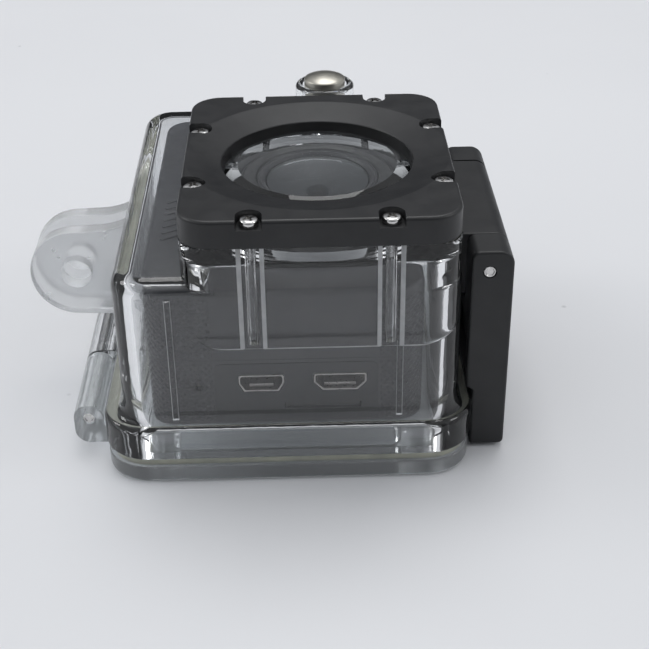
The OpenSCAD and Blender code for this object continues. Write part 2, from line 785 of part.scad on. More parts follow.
// Metal socket with a tongue inside
module socket(x, w, h, step) {
    translate([x, cam_y0 + port_depth + 0.1, port_z]) rotate([90, 0, 0]) {
        linear_extrude(port_depth)
            difference() {
                socket_outline(w, h, step);
                socket_outline(w - 0.6, h - 0.6, step);
            }
        linear_extrude(0.6) socket_outline(w, h, step);
        linear_extrude(port_depth - 1) translate([-w / 2 + 1.8, -0.15]) square([w - 3.6, 0.6]);
    }
}

module usb_port() { color([0.70, 0.70, 0.70]) socket(usb_x, 7.6, 2.8, 1.3); }
module hdmi_port() { color([0.70, 0.70, 0.70]) socket(hdmi_x, 6.6, 2.8, 0.7); }

module card_reader() {
    color([0.65, 0.65, 0.65])
        difference() {
            box([card_at[0] - 6.6, cam_y0 + 2.2, card_at[2] - 0.9],
                [card_at[0] + 6.6, cam_y0 + 16, card_at[2] + 1]);
            box([card_at[0] - 5.6, cam_y0, card_at[2] - 0.45],
                [card_at[0] + 5.6, cam_y0 + 15.2, card_at[2] + 0.45]);
        }
}

module memory_card() {
    color([0.08, 0.08, 0.09]) box([card_at[0] - 5.5, cam_y0 + 0.2, card_at[2] - 0.35],
        [card_at[0] + 5.5, cam_y0 + 15.1, card_at[2] + 0.35]);
}

module speaker() {
    color([0.20, 0.20, 0.20]) translate([cam_x0 + 7, cam_y0 + 9, cam_z0 + 3]) cylinder(h = 3, r = 4.5);
}

module microphone() {
    color([0.60, 0.60, 0.60]) bar_y([mic_at[0], cam_y0 + cam_wall + 0.1, mic_at[1]], 1.6, 1.4);
}

module status_led() {
    color([0.20, 0.45, 0.90]) translate([led_at[0], led_at[1], cam_z1 - 2]) cylinder(h = 1.9, r = led_r);
}

module camera_screws() {
    color([0.55, 0.55, 0.55])
        for (p = cam_screw_xy)
            translate([p[0], p[1], cam_z0 + 0.2])
                difference() {
                    cylinder(h = 5, r = 0.75);
                    for (a = [0, 90]) rotate([0, 0, a]) translate([-0.55, -0.12, -1]) cube([1.1, 0.24, 1.3]);
                }
}

housing_shell();
mount_fingers();
lens_plate();
plate_screws();
window_glass();
window_gasket();
door_panel();
door_gasket();
hinge_pin();
latch_lever();
latch_bracket();
latch_pin();
front_button();
front_button_spring();
front_button_seal();
front_button_clip();
top_button();
top_button_spring();
top_button_seal();
top_button_clip();
up_button();
up_button_spring();
up_button_seal();
up_button_clip();
down_button();
down_button_spring();
down_button_seal();
down_button_clip();
front_key();
top_key();
up_key();
down_key();
camera_front_shell();
camera_rear_shell();
port_panel();
lens_barrel();
lens_bezel();
lens_cover_glass();
lens_baffle();
front_lens();
rear_lens();
image_sensor();
main_board();
battery();
battery_door();
lcd_panel();
screen_glass();
usb_port();
hdmi_port();
card_reader();
memory_card();
speaker();
microphone();
status_led();
camera_screws();
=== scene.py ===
"""Looks of an action camera in its clear waterproof housing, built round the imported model.

All shapes are worked out in millimetres, in the model's own frame, and are scaled to metres
when they become pieces. +Z is the way the lens looks, +X the latch side, -Y the socket side.
"""

import logging
import math
from dataclasses import dataclass, field
from enum import Enum
from typing import Callable, Sequence

import bpy
import bmesh
import numpy as np
from mathutils import Matrix, Vector


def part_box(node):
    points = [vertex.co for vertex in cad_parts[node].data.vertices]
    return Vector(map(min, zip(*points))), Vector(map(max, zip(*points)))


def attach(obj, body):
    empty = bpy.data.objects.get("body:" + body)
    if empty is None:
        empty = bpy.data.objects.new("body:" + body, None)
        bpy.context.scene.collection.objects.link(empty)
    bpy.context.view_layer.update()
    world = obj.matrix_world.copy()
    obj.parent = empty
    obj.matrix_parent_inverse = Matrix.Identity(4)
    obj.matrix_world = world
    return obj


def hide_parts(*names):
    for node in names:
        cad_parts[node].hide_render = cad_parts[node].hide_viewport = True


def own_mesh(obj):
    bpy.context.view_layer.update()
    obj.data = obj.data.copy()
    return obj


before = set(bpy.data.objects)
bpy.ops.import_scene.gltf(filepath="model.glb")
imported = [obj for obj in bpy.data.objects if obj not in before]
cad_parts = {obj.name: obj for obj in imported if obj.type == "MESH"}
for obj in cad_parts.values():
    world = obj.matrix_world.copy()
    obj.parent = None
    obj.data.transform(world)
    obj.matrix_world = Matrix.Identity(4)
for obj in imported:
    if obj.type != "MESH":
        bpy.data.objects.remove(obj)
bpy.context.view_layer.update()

LOG = logging.getLogger("action_camera")
MM = 0.001
DOME = 1.9  # depth of the centre of a cap's dome below its rim, in cap radii
COLLAR_ROOT = {"z": -0.3, "x": 0.8, "y": 0.3}  # where a collar starts, inside the wall that it stands on


# ---------- shapes ----------


@dataclass
class Skin:
    """A mesh in the making: points in millimetres, and faces as rows of point numbers."""

    points: np.ndarray
    faces: list[np.ndarray]

    def moved(self, x: float = 0.0, y: float = 0.0, z: float = 0.0) -> "Skin":
        """The same skin, shifted."""
        return Skin(self.points + np.array([x, y, z]), self.faces)

    def aimed(self, axis: str) -> "Skin":
        """The same skin with its +Z turned to the named axis, x, y or z.

        Args:
            axis: x, y or z.

        Returns:
            The turned skin.
        """
        x, y, z = self.points.T
        turned = {"x": (z, x, y), "y": (y, z, x), "z": (x, y, z)}[axis]
        return Skin(np.stack(turned, -1), self.faces)

    def with_(self, *others: "Skin") -> "Skin":
        """This skin and others as one mesh of separate shells.

        Args:
            others: the skins that join this one.

        Returns:
            The joined skin.
        """
        points, faces, first = [self.points], list(self.faces), len(self.points)
        for other in others:
            points.append(other.points)
            faces += [f + first for f in other.faces]
            first += len(other.points)
        return Skin(np.concatenate(points), faces)


def ring_quads(rows: int, cols: int, closed: bool) -> np.ndarray:
    """Quads between neighbouring rings of a grid whose columns close on themselves.

    Args:
        rows: number of rings.
        cols: points in a ring.
        closed: whether the last ring joins the first.

    Returns:
        Point numbers, four to a face: (i, j), (i, j+1), (i+1, j+1), (i+1, j).
    """
    i = np.arange(rows if closed else rows - 1)[:, None]
    j = np.arange(cols)[None, :]
    after, beside = (i + 1) % rows, (j + 1) % cols
    corners = [i * cols + j, i * cols + beside, after * cols + beside, after * cols + j]
    return np.stack(corners, -1).reshape(-1, 4)


def loft(rings: np.ndarray, closed: bool = False) -> Skin:
    """A skin over rings of points, with its two ends capped unless the rings close.

    Args:
        rings: array of shape (rings, points in a ring, 3).
        closed: whether the last ring joins the first, as in a torus.
    """
    rows, cols = rings.shape[:2]
    faces = [ring_quads(rows, cols, closed)]
    if not closed:
        faces += [np.arange(cols)[::-1][None], (np.arange(cols) + (rows - 1) * cols)[None]]
    return Skin(rings.reshape(-1, 3), faces)


def lathe(profile: Sequence[tuple[float, float]], steps: int = 96, closed: bool = False) -> Skin:
    """A surface of revolution: point (r cos a, r sin a, z) for each profile point and angle.

    Args:
        profile: radius and height pairs, from the bottom up round the outside.
        steps: number of angles.
        closed: True where the profile is a loop, as for a ring.
    """
    r, z = np.array(profile, float).T
    a = np.linspace(0, 2 * math.pi, steps, endpoint=False)
    grid = np.stack([r[:, None] * np.cos(a), r[:, None] * np.sin(a), z[:, None] + 0 * a], -1)
    return loft(grid, closed)


def arc(cx: float, cy: float, r: float, start: float, end: float,
        steps: int = 6) -> list[tuple[float, float]]:
    """Points on a circle's arc from one angle to another, in degrees."""
    a = np.radians(np.linspace(start, end, steps + 1))
    return list(zip(cx + r * np.cos(a), cy + r * np.sin(a)))


def rect_frame(x0: float, y0: float, x1: float, y1: float, r: float, steps: int = 8) -> tuple[np.ndarray,
                                                                                              np.ndarray]:
    """A rounded rectangle as corner centres and unit directions, so that a ring is centre + r * direction.

    Args:
        x0: lowest X.
        y0: lowest Y.
        x1: highest X.
        y1: highest Y.
        r: radius of its corners.
        steps: points in each corner.

    Returns:
        The corner centres and the unit directions.
    """
    a = np.radians(np.arange(4)[:, None] * 90 + np.linspace(0, 90, steps + 1)[None, :])
    corners = np.array([[x1 - r, y1 - r], [x0 + r, y1 - r], [x0 + r, y0 + r], [x1 - r, y0 + r]])
    centres = np.repeat(corners, steps + 1, axis=0)
    return centres, np.stack([np.cos(a), np.sin(a)], -1).reshape(-1, 2)


def rect_outline(x0: float, y0: float, x1: float, y1: float, r: float, steps: int = 8) -> np.ndarray:
    """A rounded rectangle's outline, anticlockwise."""
    centres, ways = rect_frame(x0, y0, x1, y1, r, steps)
    return centres + r * ways


def edge_profile(z0: float, z1: float, bottom: float, top: float, steps: int = 5) -> tuple[np.ndarray,
                                                                                           np.ndarray]:
    """Insets and heights up a wall whose lower and upper edges are quarter rounds of the given radii.

    Args:
        z0: height of the wall's foot.
        z1: height of its top.
        bottom: radius of the lower edge.
        top: radius of the upper edge.
        steps: points along each edge.

    Returns:
        The insets and the heights.
    """
    a = np.radians(np.linspace(0, 90, steps + 1))
    inset = np.concatenate([bottom * (1 - np.sin(a)), top * (1 - np.cos(a))])
    height = np.concatenate([z0 + bottom * (1 - np.cos(a)), z1 - top + top * np.sin(a)])
    return inset, height


def block(lo: Sequence[float], hi: Sequence[float], r: float, top: float = 0.3, bottom: float = 0.3,
          steps: int = 8) -> Skin:
    """An upright rounded block: each ring is the outline drawn in by the edge profile's inset.

    Args:
        lo: lowest corner.
        hi: highest corner.
        r: radius of the upright edges.
        top: radius of the top edge.
        bottom: radius of the bottom edge.
        steps: points in each rounded edge.

    Returns:
        The closed surface.
    """
    centres, ways = rect_frame(lo[0], lo[1], hi[0], hi[1], r, steps)
    inset, height = edge_profile(lo[2], hi[2], bottom, top)
    flat = centres + (r - inset)[:, None, None] * ways
    return loft(np.concatenate([flat, np.broadcast_to(height[:, None, None], flat.shape[:2] + (1,))], -1))


def outward(outline: np.ndarray) -> np.ndarray:
    """Unit normals of an anticlockwise outline, from each point's two neighbours.

    Args:
        outline: a closed outline's points, in order.

    Returns:
        A unit normal for each point.
    """
    along = np.roll(outline, -1, 0) - np.roll(outline, 1, 0)
    normal = np.stack([along[:, 1], -along[:, 0]], -1)
    return normal / np.linalg.norm(normal, axis=1, keepdims=True)


def extrusion(outline: np.ndarray, start: float, end: float, edge: float = 0.2) -> Skin:
    """An outline in the XZ plane carried along +Y, with both ends rounded by drawing it in along its
    normals.

    Args:
        outline: the section's points as X and Z.
        start: Y of its first end.
        end: Y of its other end.
        edge: radius of its end edges.

    Returns:
        The closed surface.
    """
    inset, depth = edge_profile(start, end, edge, edge, 3)
    flat = outline - inset[:, None, None] * outward(outline)
    x, z = flat[..., 0], flat[..., 1]
    return loft(np.stack([x, np.broadcast_to(depth[:, None], x.shape), z], -1))


def tube_wall(outer: np.ndarray, inner: np.ndarray, start: float, end: float) -> Skin:
    """The wall between two outlines in the XZ plane, carried along +Y: a closed loop of four rings.

    Args:
        outer: the outer outline.
        inner: the inner outline.
        start: Y of its first end.
        end: Y of its other end.

    Returns:
        The closed surface.
    """
    loops = [(outer, start), (outer, end), (inner, end), (inner, start)]
    rings = np.stack([np.stack([o[:, 0], np.full(len(o), y), o[:, 1]], -1) for o, y in loops])
    return loft(rings, closed=True)


def cylinder(r: float, z0: float, z1: float, steps: int = 48) -> Skin:
    """A plain cylinder along +Z."""
    return lathe([(r, z0), (r, z1)], steps)


def box(lo: Sequence[float], hi: Sequence[float]) -> Skin:
    """A sharp box, for cutting.

    Args:
        lo: lowest corner.
        hi: highest corner.

    Returns:
        The closed surface.
    """
    x0, y0, z0 = lo
    x1, y1, z1 = hi
    base = np.array([[x0, y0], [x1, y0], [x1, y1], [x0, y1]], float)
    rings = np.stack([np.c_[base, np.full(4, z)] for z in (z0, z1)])
    return loft(rings)


def swept(path: np.ndarray, r: float, sides: int = 10) -> Skin:
    """A round tube along a path: each ring stands across the path's direction, kept level with +Z.

    Args:
        path: points along the tube's axis.
        r: the tube's radius.
        sides: points in each ring.

    Returns:
        The closed surface.
    """
    along = np.gradient(path, axis=0)
    along /= np.linalg.norm(along, axis=1, keepdims=True)
    side = np.cross(along, [0.0, 0.0, 1.0])
    side /= np.linalg.norm(side, axis=1, keepdims=True)
    up = np.cross(side, along)
    a = np.linspace(0, 2 * math.pi, sides, endpoint=False)[None, :, None]
    return loft(path[:, None] + r * (np.cos(a) * side[:, None] + np.sin(a) * up[:, None]))


def close_slivers(obj: bpy.types.Object) -> None:
    """Fills the open triangles and quads that cutting can leave, and turns the faces outwards.

    Args:
        obj: the object, still in millimetres.
    """
    work = bmesh.new()
    work.from_mesh(obj.data)
    open_edges = [edge for edge in work.edges if edge.is_boundary]
    if open_edges:
        bmesh.ops.holes_fill(work, edges=open_edges, sides=4)
        bmesh.ops.recalc_face_normals(work, faces=work.faces)
        work.to_mesh(obj.data)
    work.free()


def second_finish(obj: bpy.types.Object, finish: "Finish", pick: Callable[[np.ndarray, np.ndarray],
                                                                          np.ndarray]) -> None:
    """Gives some of a finished piece's own faces another finish.

    Args:
        obj: the finished piece, in metres.
        finish: the finish of the picked faces.
        pick: says which faces, from their middles in millimetres and their normals.
    """
    faces = obj.data.polygons
    middle, normal = np.empty(len(faces) * 3), np.empty(len(faces) * 3)
    faces.foreach_get("center", middle)
    faces.foreach_get("normal", normal)
    obj.data.materials.append(finish.material())
    faces.foreach_set("material_index", pick(middle.reshape(-1, 3) / MM,
                                             normal.reshape(-1, 3)).astype(np.int32))
    obj.data.update()


# ---------- pieces ----------


def mesh_object(name: str, skin: Skin) -> bpy.types.Object:
    """An object in millimetres that holds a skin, with its faces turned outwards.

    Args:
        name: the object's name.
        skin: its surface.

    Returns:
        The new object.
    """
    mesh = bpy.data.meshes.new(name)
    mesh.from_pydata(skin.points.tolist(), [], [f for rows in skin.faces for f in rows.tolist()])
    work = bmesh.new()
    work.from_mesh(mesh)
    bmesh.ops.recalc_face_normals(work, faces=work.faces)
    work.to_mesh(mesh)
    work.free()
    obj = bpy.data.objects.new(name, mesh)
    bpy.context.scene.collection.objects.link(obj)
    return obj


def bake_modifiers(obj: bpy.types.Object) -> None:
    """Puts what an object's modifiers make into its own mesh, and drops them.

    Args:
        obj: the object whose modifiers are applied.
    """
    graph = bpy.context.evaluated_depsgraph_get()
    mesh = bpy.data.meshes.new_from_object(obj.evaluated_get(graph))
    old = obj.data
    obj.modifiers.clear()
    obj.data = mesh
    mesh.name = old.name
    bpy.data.meshes.remove(old)


class Cut(Enum):
    """How one solid changes another."""

    ADD = "UNION"
    TAKE = "DIFFERENCE"
    KEEP = "INTERSECT"


def change(obj: bpy.types.Object, how: Cut, *tools: Skin) -> bpy.types.Object:
    """Adds solids to an object, or takes them out of it, one after another."""
    for tool in tools:
        other = mesh_object("tool", tool)
        step = obj.modifiers.new("step", "BOOLEAN")
        step.operation, step.object, step.solver = how.value, other, "EXACT"
        bake_modifiers(obj)
        old = other.data
        bpy.data.objects.remove(other)
        bpy.data.meshes.remove(old)
    return obj


def soften(obj: bpy.types.Object, width: float, segments: int = 2, angle: float = 40) -> bpy.types.Object:
    """Rounds an object's sharp edges a little, as a mould leaves them.

    Args:
        obj: the object.
        width: how far the edges are cut back.
        segments: faces across each edge.
        angle: least turn, in degrees, of an edge that is rounded.

    Returns:
        The same object.
    """
    step = obj.modifiers.new("edges", "BEVEL")
    step.width, step.segments, step.limit_method = width, segments, "ANGLE"
    step.angle_limit = math.radians(angle)
    step.use_clamp_overlap = True
    bake_modifiers(obj)
    return obj


class Pattern(Enum):
    """What a finish shows up close."""

    MOULDED = "moulded"
    TURNED = "turned"
    BRUSHED = "brushed"
    LAMINATE = "laminate"
    DOTS = "dots"


@dataclass(frozen=True)
class Finish:
    """A procedural finish, with sizes of its patterns in millimetres.

    Args:
        name: the finish's name.
        slot: name of a material slot; not used.
        colour: its main colour.
        other: the colour that it varies towards.
        rough: lowest and highest roughness.
        grain: size of its fine bumps.
        depth: height of its bumps, as the bump node's strength.
        patch: size of its soft patches of colour.
        metal: how metallic it is, from 0 to 1.
        clear: how much light it lets through, from 0 to 1.
        ior: its refractive index.
        specular: strength of its gloss where it isn't metal.
        coat: strength of a clear coat over it.
        pattern: what it shows up close.
    """

    name: str
    slot: str
    colour: tuple[float, float, float]
    other: tuple[float, float, float]
    rough: tuple[float, float] = (0.3, 0.45)
    grain: float = 0.25
    depth: float = 0.05
    patch: float = 6.0
    metal: float = 0.0
    clear: float = 0.0
    ior: float = 1.5
    specular: float = 0.5
    coat: float = 0.0
    pattern: Pattern = Pattern.MOULDED

    def material(self) -> bpy.types.Material:
        """The finish as a node material, made once."""
        name = f"{self.name}_finish"
        found = bpy.data.materials.get(name)
        if found:
            return found
        made = bpy.data.materials.new(name)
        made.use_nodes = True
        tree = made.node_tree
        shader = tree.nodes["Principled BSDF"]
        shader.inputs["Metallic"].default_value = self.metal
        shader.inputs["IOR"].default_value = self.ior
        shader.inputs["Specular IOR Level"].default_value = self.specular
        shader.inputs["Transmission Weight"].default_value = self.clear
        shader.inputs["Coat Weight"].default_value = self.coat
        where = tree.nodes.new("ShaderNodeTexCoord").outputs["Object"]
        self._colour(tree, where, shader)
        self._surface(tree, where, shader)
        if self.clear > 0.5:
            self._pass_lamps(tree, shader)
        made.diffuse_color = (*self.colour, 1.0 - 0.6 * self.clear)
        return made

    def _noise(self, tree: bpy.types.NodeTree, where: bpy.types.NodeSocket, size: float,
               detail: float) -> bpy.types.NodeSocket:
        """Noise with features of about the given size in millimetres, drawn out along a brushed
        finish.

        Args:
            tree: the material's nodes.
            where: the coordinates that it reads.
            size: size of its features.
            detail: how many finer layers it has.

        Returns:
            The socket that gives the noise.
        """
        noise = tree.nodes.new("ShaderNodeTexNoise")
        noise.inputs["Scale"].default_value = 1.0 / (size * MM)
        noise.inputs["Detail"].default_value = detail
        if self.pattern is Pattern.BRUSHED:
            stretch = tree.nodes.new("ShaderNodeMapping")
            stretch.inputs["Scale"].default_value = (1.0, 0.06, 1.0)
            tree.links.new(where, stretch.inputs["Vector"])
            where = stretch.outputs["Vector"]
        tree.links.new(where, noise.inputs["Vector"])
        return noise.outputs["Fac"]

    def _colour(self, tree: bpy.types.NodeTree, where: bpy.types.NodeSocket, shader: bpy.types.Node) -> None:
        """Colour that drifts in soft patches between the finish's two colours.

        Args:
            tree: the material's nodes.
            where: the coordinates that it reads.
            shader: the shader that it colours.
        """
        ramp = tree.nodes.new("ShaderNodeValToRGB")
        ramp.color_ramp.elements[0].position, ramp.color_ramp.elements[1].position = 0.35, 0.65
        ramp.color_ramp.elements[0].color = (*self.colour, 1)
        ramp.color_ramp.elements[1].color = (*self.other, 1)
        if self.pattern in (Pattern.LAMINATE, Pattern.DOTS):
            brick = tree.nodes.new("ShaderNodeTexBrick")
            brick.inputs["Scale"].default_value = 1.0 / (self.patch * MM)
            brick.inputs["Color1"].default_value = (*self.colour, 1)
            brick.inputs["Color2"].default_value = (*self.colour, 1)
            brick.inputs["Mortar"].default_value = (*self.other, 1)
            tree.links.new(where, brick.inputs["Vector"])
            tree.links.new(brick.outputs["Color"], shader.inputs["Base Color"])
            tree.nodes.remove(ramp)
            return
        tree.links.new(self._noise(tree, where, self.patch, 3.0), ramp.inputs["Fac"])
        tree.links.new(ramp.outputs["Color"], shader.inputs["Base Color"])

    def _surface(self, tree: bpy.types.NodeTree, where: bpy.types.NodeSocket, shader: bpy.types.Node) -> None:
        """Roughness in patches, and fine bumps.

        Args:
            tree: the material's nodes.
            where: the coordinates that it reads.
            shader: the shader that it roughens.
        """
        spread = tree.nodes.new("ShaderNodeMapRange")
        spread.inputs["From Min"].default_value, spread.inputs["From Max"].default_value = 0.3, 0.7
        spread.inputs["To Min"].default_value, spread.inputs["To Max"].default_value = self.rough
        tree.links.new(self._noise(tree, where, self.patch * 0.6, 4.0), spread.inputs["Value"])
        tree.links.new(spread.outputs["Result"], shader.inputs["Roughness"])
        bump = tree.nodes.new("ShaderNodeBump")
        bump.inputs["Strength"].default_value = self.depth
        bump.inputs["Distance"].default_value = self.grain * MM * 0.4
        height = self._noise(tree, where, self.grain, 2.0)
        if self.pattern is Pattern.TURNED:
            wave = tree.nodes.new("ShaderNodeTexWave")
            wave.wave_type, wave.rings_direction = "RINGS", "Z"
            wave.inputs["Scale"].default_value = 1.0 / (self.grain * MM * 20)
            wave.inputs["Distortion"].default_value = 0.6
            tree.links.new(where, wave.inputs["Vector"])
            height = wave.outputs["Fac"]
        tree.links.new(height, bump.inputs["Height"])
        tree.links.new(bump.outputs["Normal"], shader.inputs["Normal"])

    def _pass_lamps(self, tree: bpy.types.NodeTree, shader: bpy.types.Node) -> None:
        """Lets lamps shine through clear plastic and glass on to what is behind it.

        Args:
            tree: the material's nodes.
            shader: the shader of the clear surface.
        """
        path = tree.nodes.new("ShaderNodeLightPath")
        through = tree.nodes.new("ShaderNodeBsdfTransparent")
        through.inputs["Color"].default_value = (0.90, 0.91, 0.92, 1)
        mix = tree.nodes.new("ShaderNodeMixShader")
        output = tree.nodes["Material Output"]
        tree.links.new(path.outputs["Is Shadow Ray"], mix.inputs["Fac"])
        tree.links.new(shader.outputs["BSDF"], mix.inputs[1])
        tree.links.new(through.outputs["BSDF"], mix.inputs[2])
        tree.links.new(mix.outputs["Shader"], output.inputs["Surface"])


CLEAR_SHELL = Finish("clear_shell", "clear_plastic", (0.955, 0.968, 0.98), (0.975, 0.98, 0.985),
                     (0.012, 0.05),
                     grain=2.5, depth=0.02, patch=14, clear=1.0, ior=1.54)
CLEAR_DOOR = Finish("clear_door", "clear_plastic", (0.82, 0.85, 0.86), (0.87, 0.89, 0.90), (0.04, 0.13),
                    grain=2.0, depth=0.04, patch=10, clear=0.84, ior=1.5)
CLEAR_FINGERS = Finish("clear_fingers", "clear_plastic", (0.88, 0.89, 0.90), (0.92, 0.925, 0.93),
                       (0.14, 0.28),
                       grain=1.6, depth=0.04, patch=8, clear=0.76, ior=1.47)
# Painted highlight: a whitish frosted finish that puts the bright lines light makes along the shell's narrow
# edges into their colour.
FROSTED_PAINTED_HIGHLIGHT = Finish("frosted_painted_highlight", "clear_plastic", (0.80, 0.81, 0.82), (0.66, 0.67, 0.68), (0.28, 0.45),
                      grain=0.4, depth=0.06, patch=1.8, clear=0.5, ior=1.5)
WINDOW = Finish("window_glass", "window_glass", (0.93, 0.95, 0.955), (0.95, 0.96, 0.965), (0.0, 0.02),
                grain=3, depth=0.01, patch=9, clear=1.0, ior=1.50)
BLACK_SATIN = Finish("black_satin", "black_plastic", (0.0085, 0.0088, 0.0098), (0.0125, 0.0128, 0.0138),
                     (0.34, 0.46),
                     grain=0.16, depth=0.16, patch=5)
BLACK_LATCH = Finish("black_latch", "black_plastic", (0.0105, 0.011, 0.012), (0.015, 0.0155, 0.0165),
                     (0.38, 0.52),
                     grain=0.2, depth=0.2, patch=7)
SCREW_STEEL = Finish("screw_steel", "steel", (0.74, 0.73, 0.72), (0.62, 0.61, 0.60), (0.12, 0.26),
                     grain=0.12, depth=0.08, patch=0.8, metal=1.0)
PIN_STEEL = Finish("pin_steel", "steel", (0.70, 0.69, 0.68), (0.56, 0.55, 0.54), (0.18, 0.34),
                   grain=0.1, depth=0.15, patch=0.7, metal=1.0, pattern=Pattern.BRUSHED)
SPRING_STEEL = Finish("spring_steel", "steel", (0.55, 0.55, 0.56), (0.42, 0.42, 0.43), (0.2, 0.35),
                      grain=0.08, depth=0.1, patch=0.6, metal=1.0)
BUTTON_METAL = Finish("button_metal", "button_metal", (0.46, 0.44, 0.39), (0.40, 0.385, 0.34), (0.30, 0.38),
                      grain=0.14, depth=0.05, patch=1.6, metal=1.0, pattern=Pattern.TURNED)
SEAL_RUBBER = Finish("seal_rubber", "seal_rubber", (0.018, 0.018, 0.018), (0.03, 0.03, 0.03), (0.55, 0.7),
                     grain=0.2, depth=0.2, patch=2)
DOOR_SEAL = Finish("door_seal", "door_seal", (0.40, 0.40, 0.33), (0.30, 0.305, 0.26), (0.35, 0.55),
                   grain=0.4, depth=0.15, patch=3, coat=0.1)
CAMERA_KNURL = Finish("camera_knurl", "camera_plastic", (0.020, 0.021, 0.024), (0.027, 0.028, 0.032),
                      (0.34, 0.46),
                      grain=0.5, depth=0.04, patch=4)
CAMERA_PANEL = Finish("camera_panel", "panel_plastic", (0.017, 0.018, 0.020), (0.022, 0.023, 0.026),
                      (0.42, 0.54),
                      grain=0.6, depth=0.03, patch=5)
SOCKET_STEEL = Finish("socket_steel", "steel", (0.42, 0.40, 0.38), (0.34, 0.325, 0.31), (0.25, 0.4),
                      grain=0.1, depth=0.1, patch=0.8, metal=1.0)
LENS_BLACK = Finish("lens_black", "lens_black", (0.012, 0.012, 0.0125), (0.017, 0.017, 0.0175), (0.36, 0.5),
                    grain=0.1, depth=0.12, patch=2)
LENS_GREY = Finish("lens_grey", "lens_grey", (0.022, 0.022, 0.024), (0.030, 0.030, 0.033), (0.38, 0.48),
                   grain=0.08, depth=0.1, patch=2, pattern=Pattern.TURNED)
LENS_COATED = Finish("lens_coated", "lens_glass", (0.80, 0.82, 0.84), (0.86, 0.87, 0.88), (0.0, 0.02),
                     grain=2, depth=0.01, patch=4, clear=1.0, ior=1.52, coat=0.4)
LENS_TINTED = Finish("lens_tinted", "lens_glass", (0.52, 0.38, 0.16), (0.36, 0.30, 0.20), (0.04, 0.1),
                     grain=1, depth=0.02, patch=1.2, metal=0.55, coat=1.0)
KEY_GREY = Finish("key_grey", "key_grey", (0.30, 0.30, 0.31), (0.24, 0.24, 0.25), (0.25, 0.4),
                  grain=0.1, depth=0.1, patch=1.5, metal=0.8, pattern=Pattern.TURNED)
KEY_BLACK = Finish("key_black", "key_black", (0.02, 0.02, 0.021), (0.03, 0.03, 0.031), (0.5, 0.65),
                   grain=0.1, depth=0.2, patch=2)
BOARD = Finish("board", "board_green", (0.02, 0.12, 0.05), (0.10, 0.30, 0.12), (0.3, 0.45),
               grain=0.3, depth=0.1, patch=3, pattern=Pattern.LAMINATE)
BATTERY_WRAP = Finish("battery_wrap", "battery_wrap", (0.04, 0.09, 0.25), (0.05, 0.12, 0.32), (0.2, 0.35),
                      grain=1.2, depth=0.1, patch=6, coat=0.3)
SCREEN_BLACK = Finish("screen_black", "screen_black", (0.006, 0.006, 0.008), (0.009, 0.009, 0.012),
                      (0.03, 0.08),
                      grain=3, depth=0.01, patch=10, coat=1.0)
DISPLAY = Finish("display", "lcd", (0.02, 0.022, 0.03), (0.012, 0.013, 0.018), (0.2, 0.3),
                 grain=0.3, depth=0.02, patch=0.5, pattern=Pattern.DOTS)
CARD_BLACK = Finish("card_black", "card_black", (0.01, 0.01, 0.011), (0.015, 0.015, 0.016), (0.35, 0.45),
                    grain=0.1, depth=0.1, patch=3)
LED_BLUE = Finish("led_blue", "led_blue", (0.10, 0.22, 0.6), (0.12, 0.26, 0.65), (0.1, 0.2),
                  grain=0.5, depth=0.02, patch=1, coat=0.6)


def add_piece(obj: bpy.types.Object, finish: Finish, body: str, *nodes: str, smooth: float = 32,
              flat_faces: bool = False) -> bpy.types.Object:
    """Finishes an object and hands it to the frame.

    Args:
        obj: the object, still in millimetres.
        finish: the finish that it gets.
        body: the body that it rides on.
        nodes: the model's nodes that it stands for.
        smooth: edges that turn by less than this many degrees are shaded smooth.
        flat_faces: keeps the shading of large flat faces flat beside small rounds.
    """
    close_slivers(obj)
    obj.data.transform(Matrix.Scale(MM, 4))
    mesh = obj.data
    mesh.polygons.foreach_set("use_smooth", np.ones(len(mesh.polygons), bool))
    mesh.set_sharp_from_angle(angle=math.radians(smooth))
    if flat_faces:
        step = obj.modifiers.new("flat faces", "WEIGHTED_NORMAL")
        step.keep_sharp, step.weight = True, 100
        bake_modifiers(obj)
        mesh = obj.data
    mesh.materials.clear()
    mesh.materials.append(finish.material())
    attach(obj, body)
    if nodes:
        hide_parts(*nodes)
    LOG.info("%s: %d faces on %s", obj.name, len(mesh.polygons), body)
    return obj


def dress_node(node: str, finish: Finish) -> None:
    """Gives a node of the model its finish, with its shape left as it is.

    Args:
        node: the node's name.
        finish: the finish that it gets.
    """
    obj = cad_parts[node]
    obj.data.materials.clear()
    obj.data.materials.append(finish.material())
    LOG.info("%s: dressed as %s", node, finish.name)


def node_box(*nodes: str) -> tuple[np.ndarray, np.ndarray]:
    """Lowest and highest corner of some nodes together, in millimetres.

    Args:
        nodes: names of the nodes.

    Returns:
        The lowest and the highest corner.
    """
    corners = [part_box(n) for n in nodes]
    low = np.min([np.array(c[0]) for c in corners], axis=0)
    high = np.max([np.array(c[1]) for c in corners], axis=0)
    return low / MM, high / MM


# ---------- housing ----------


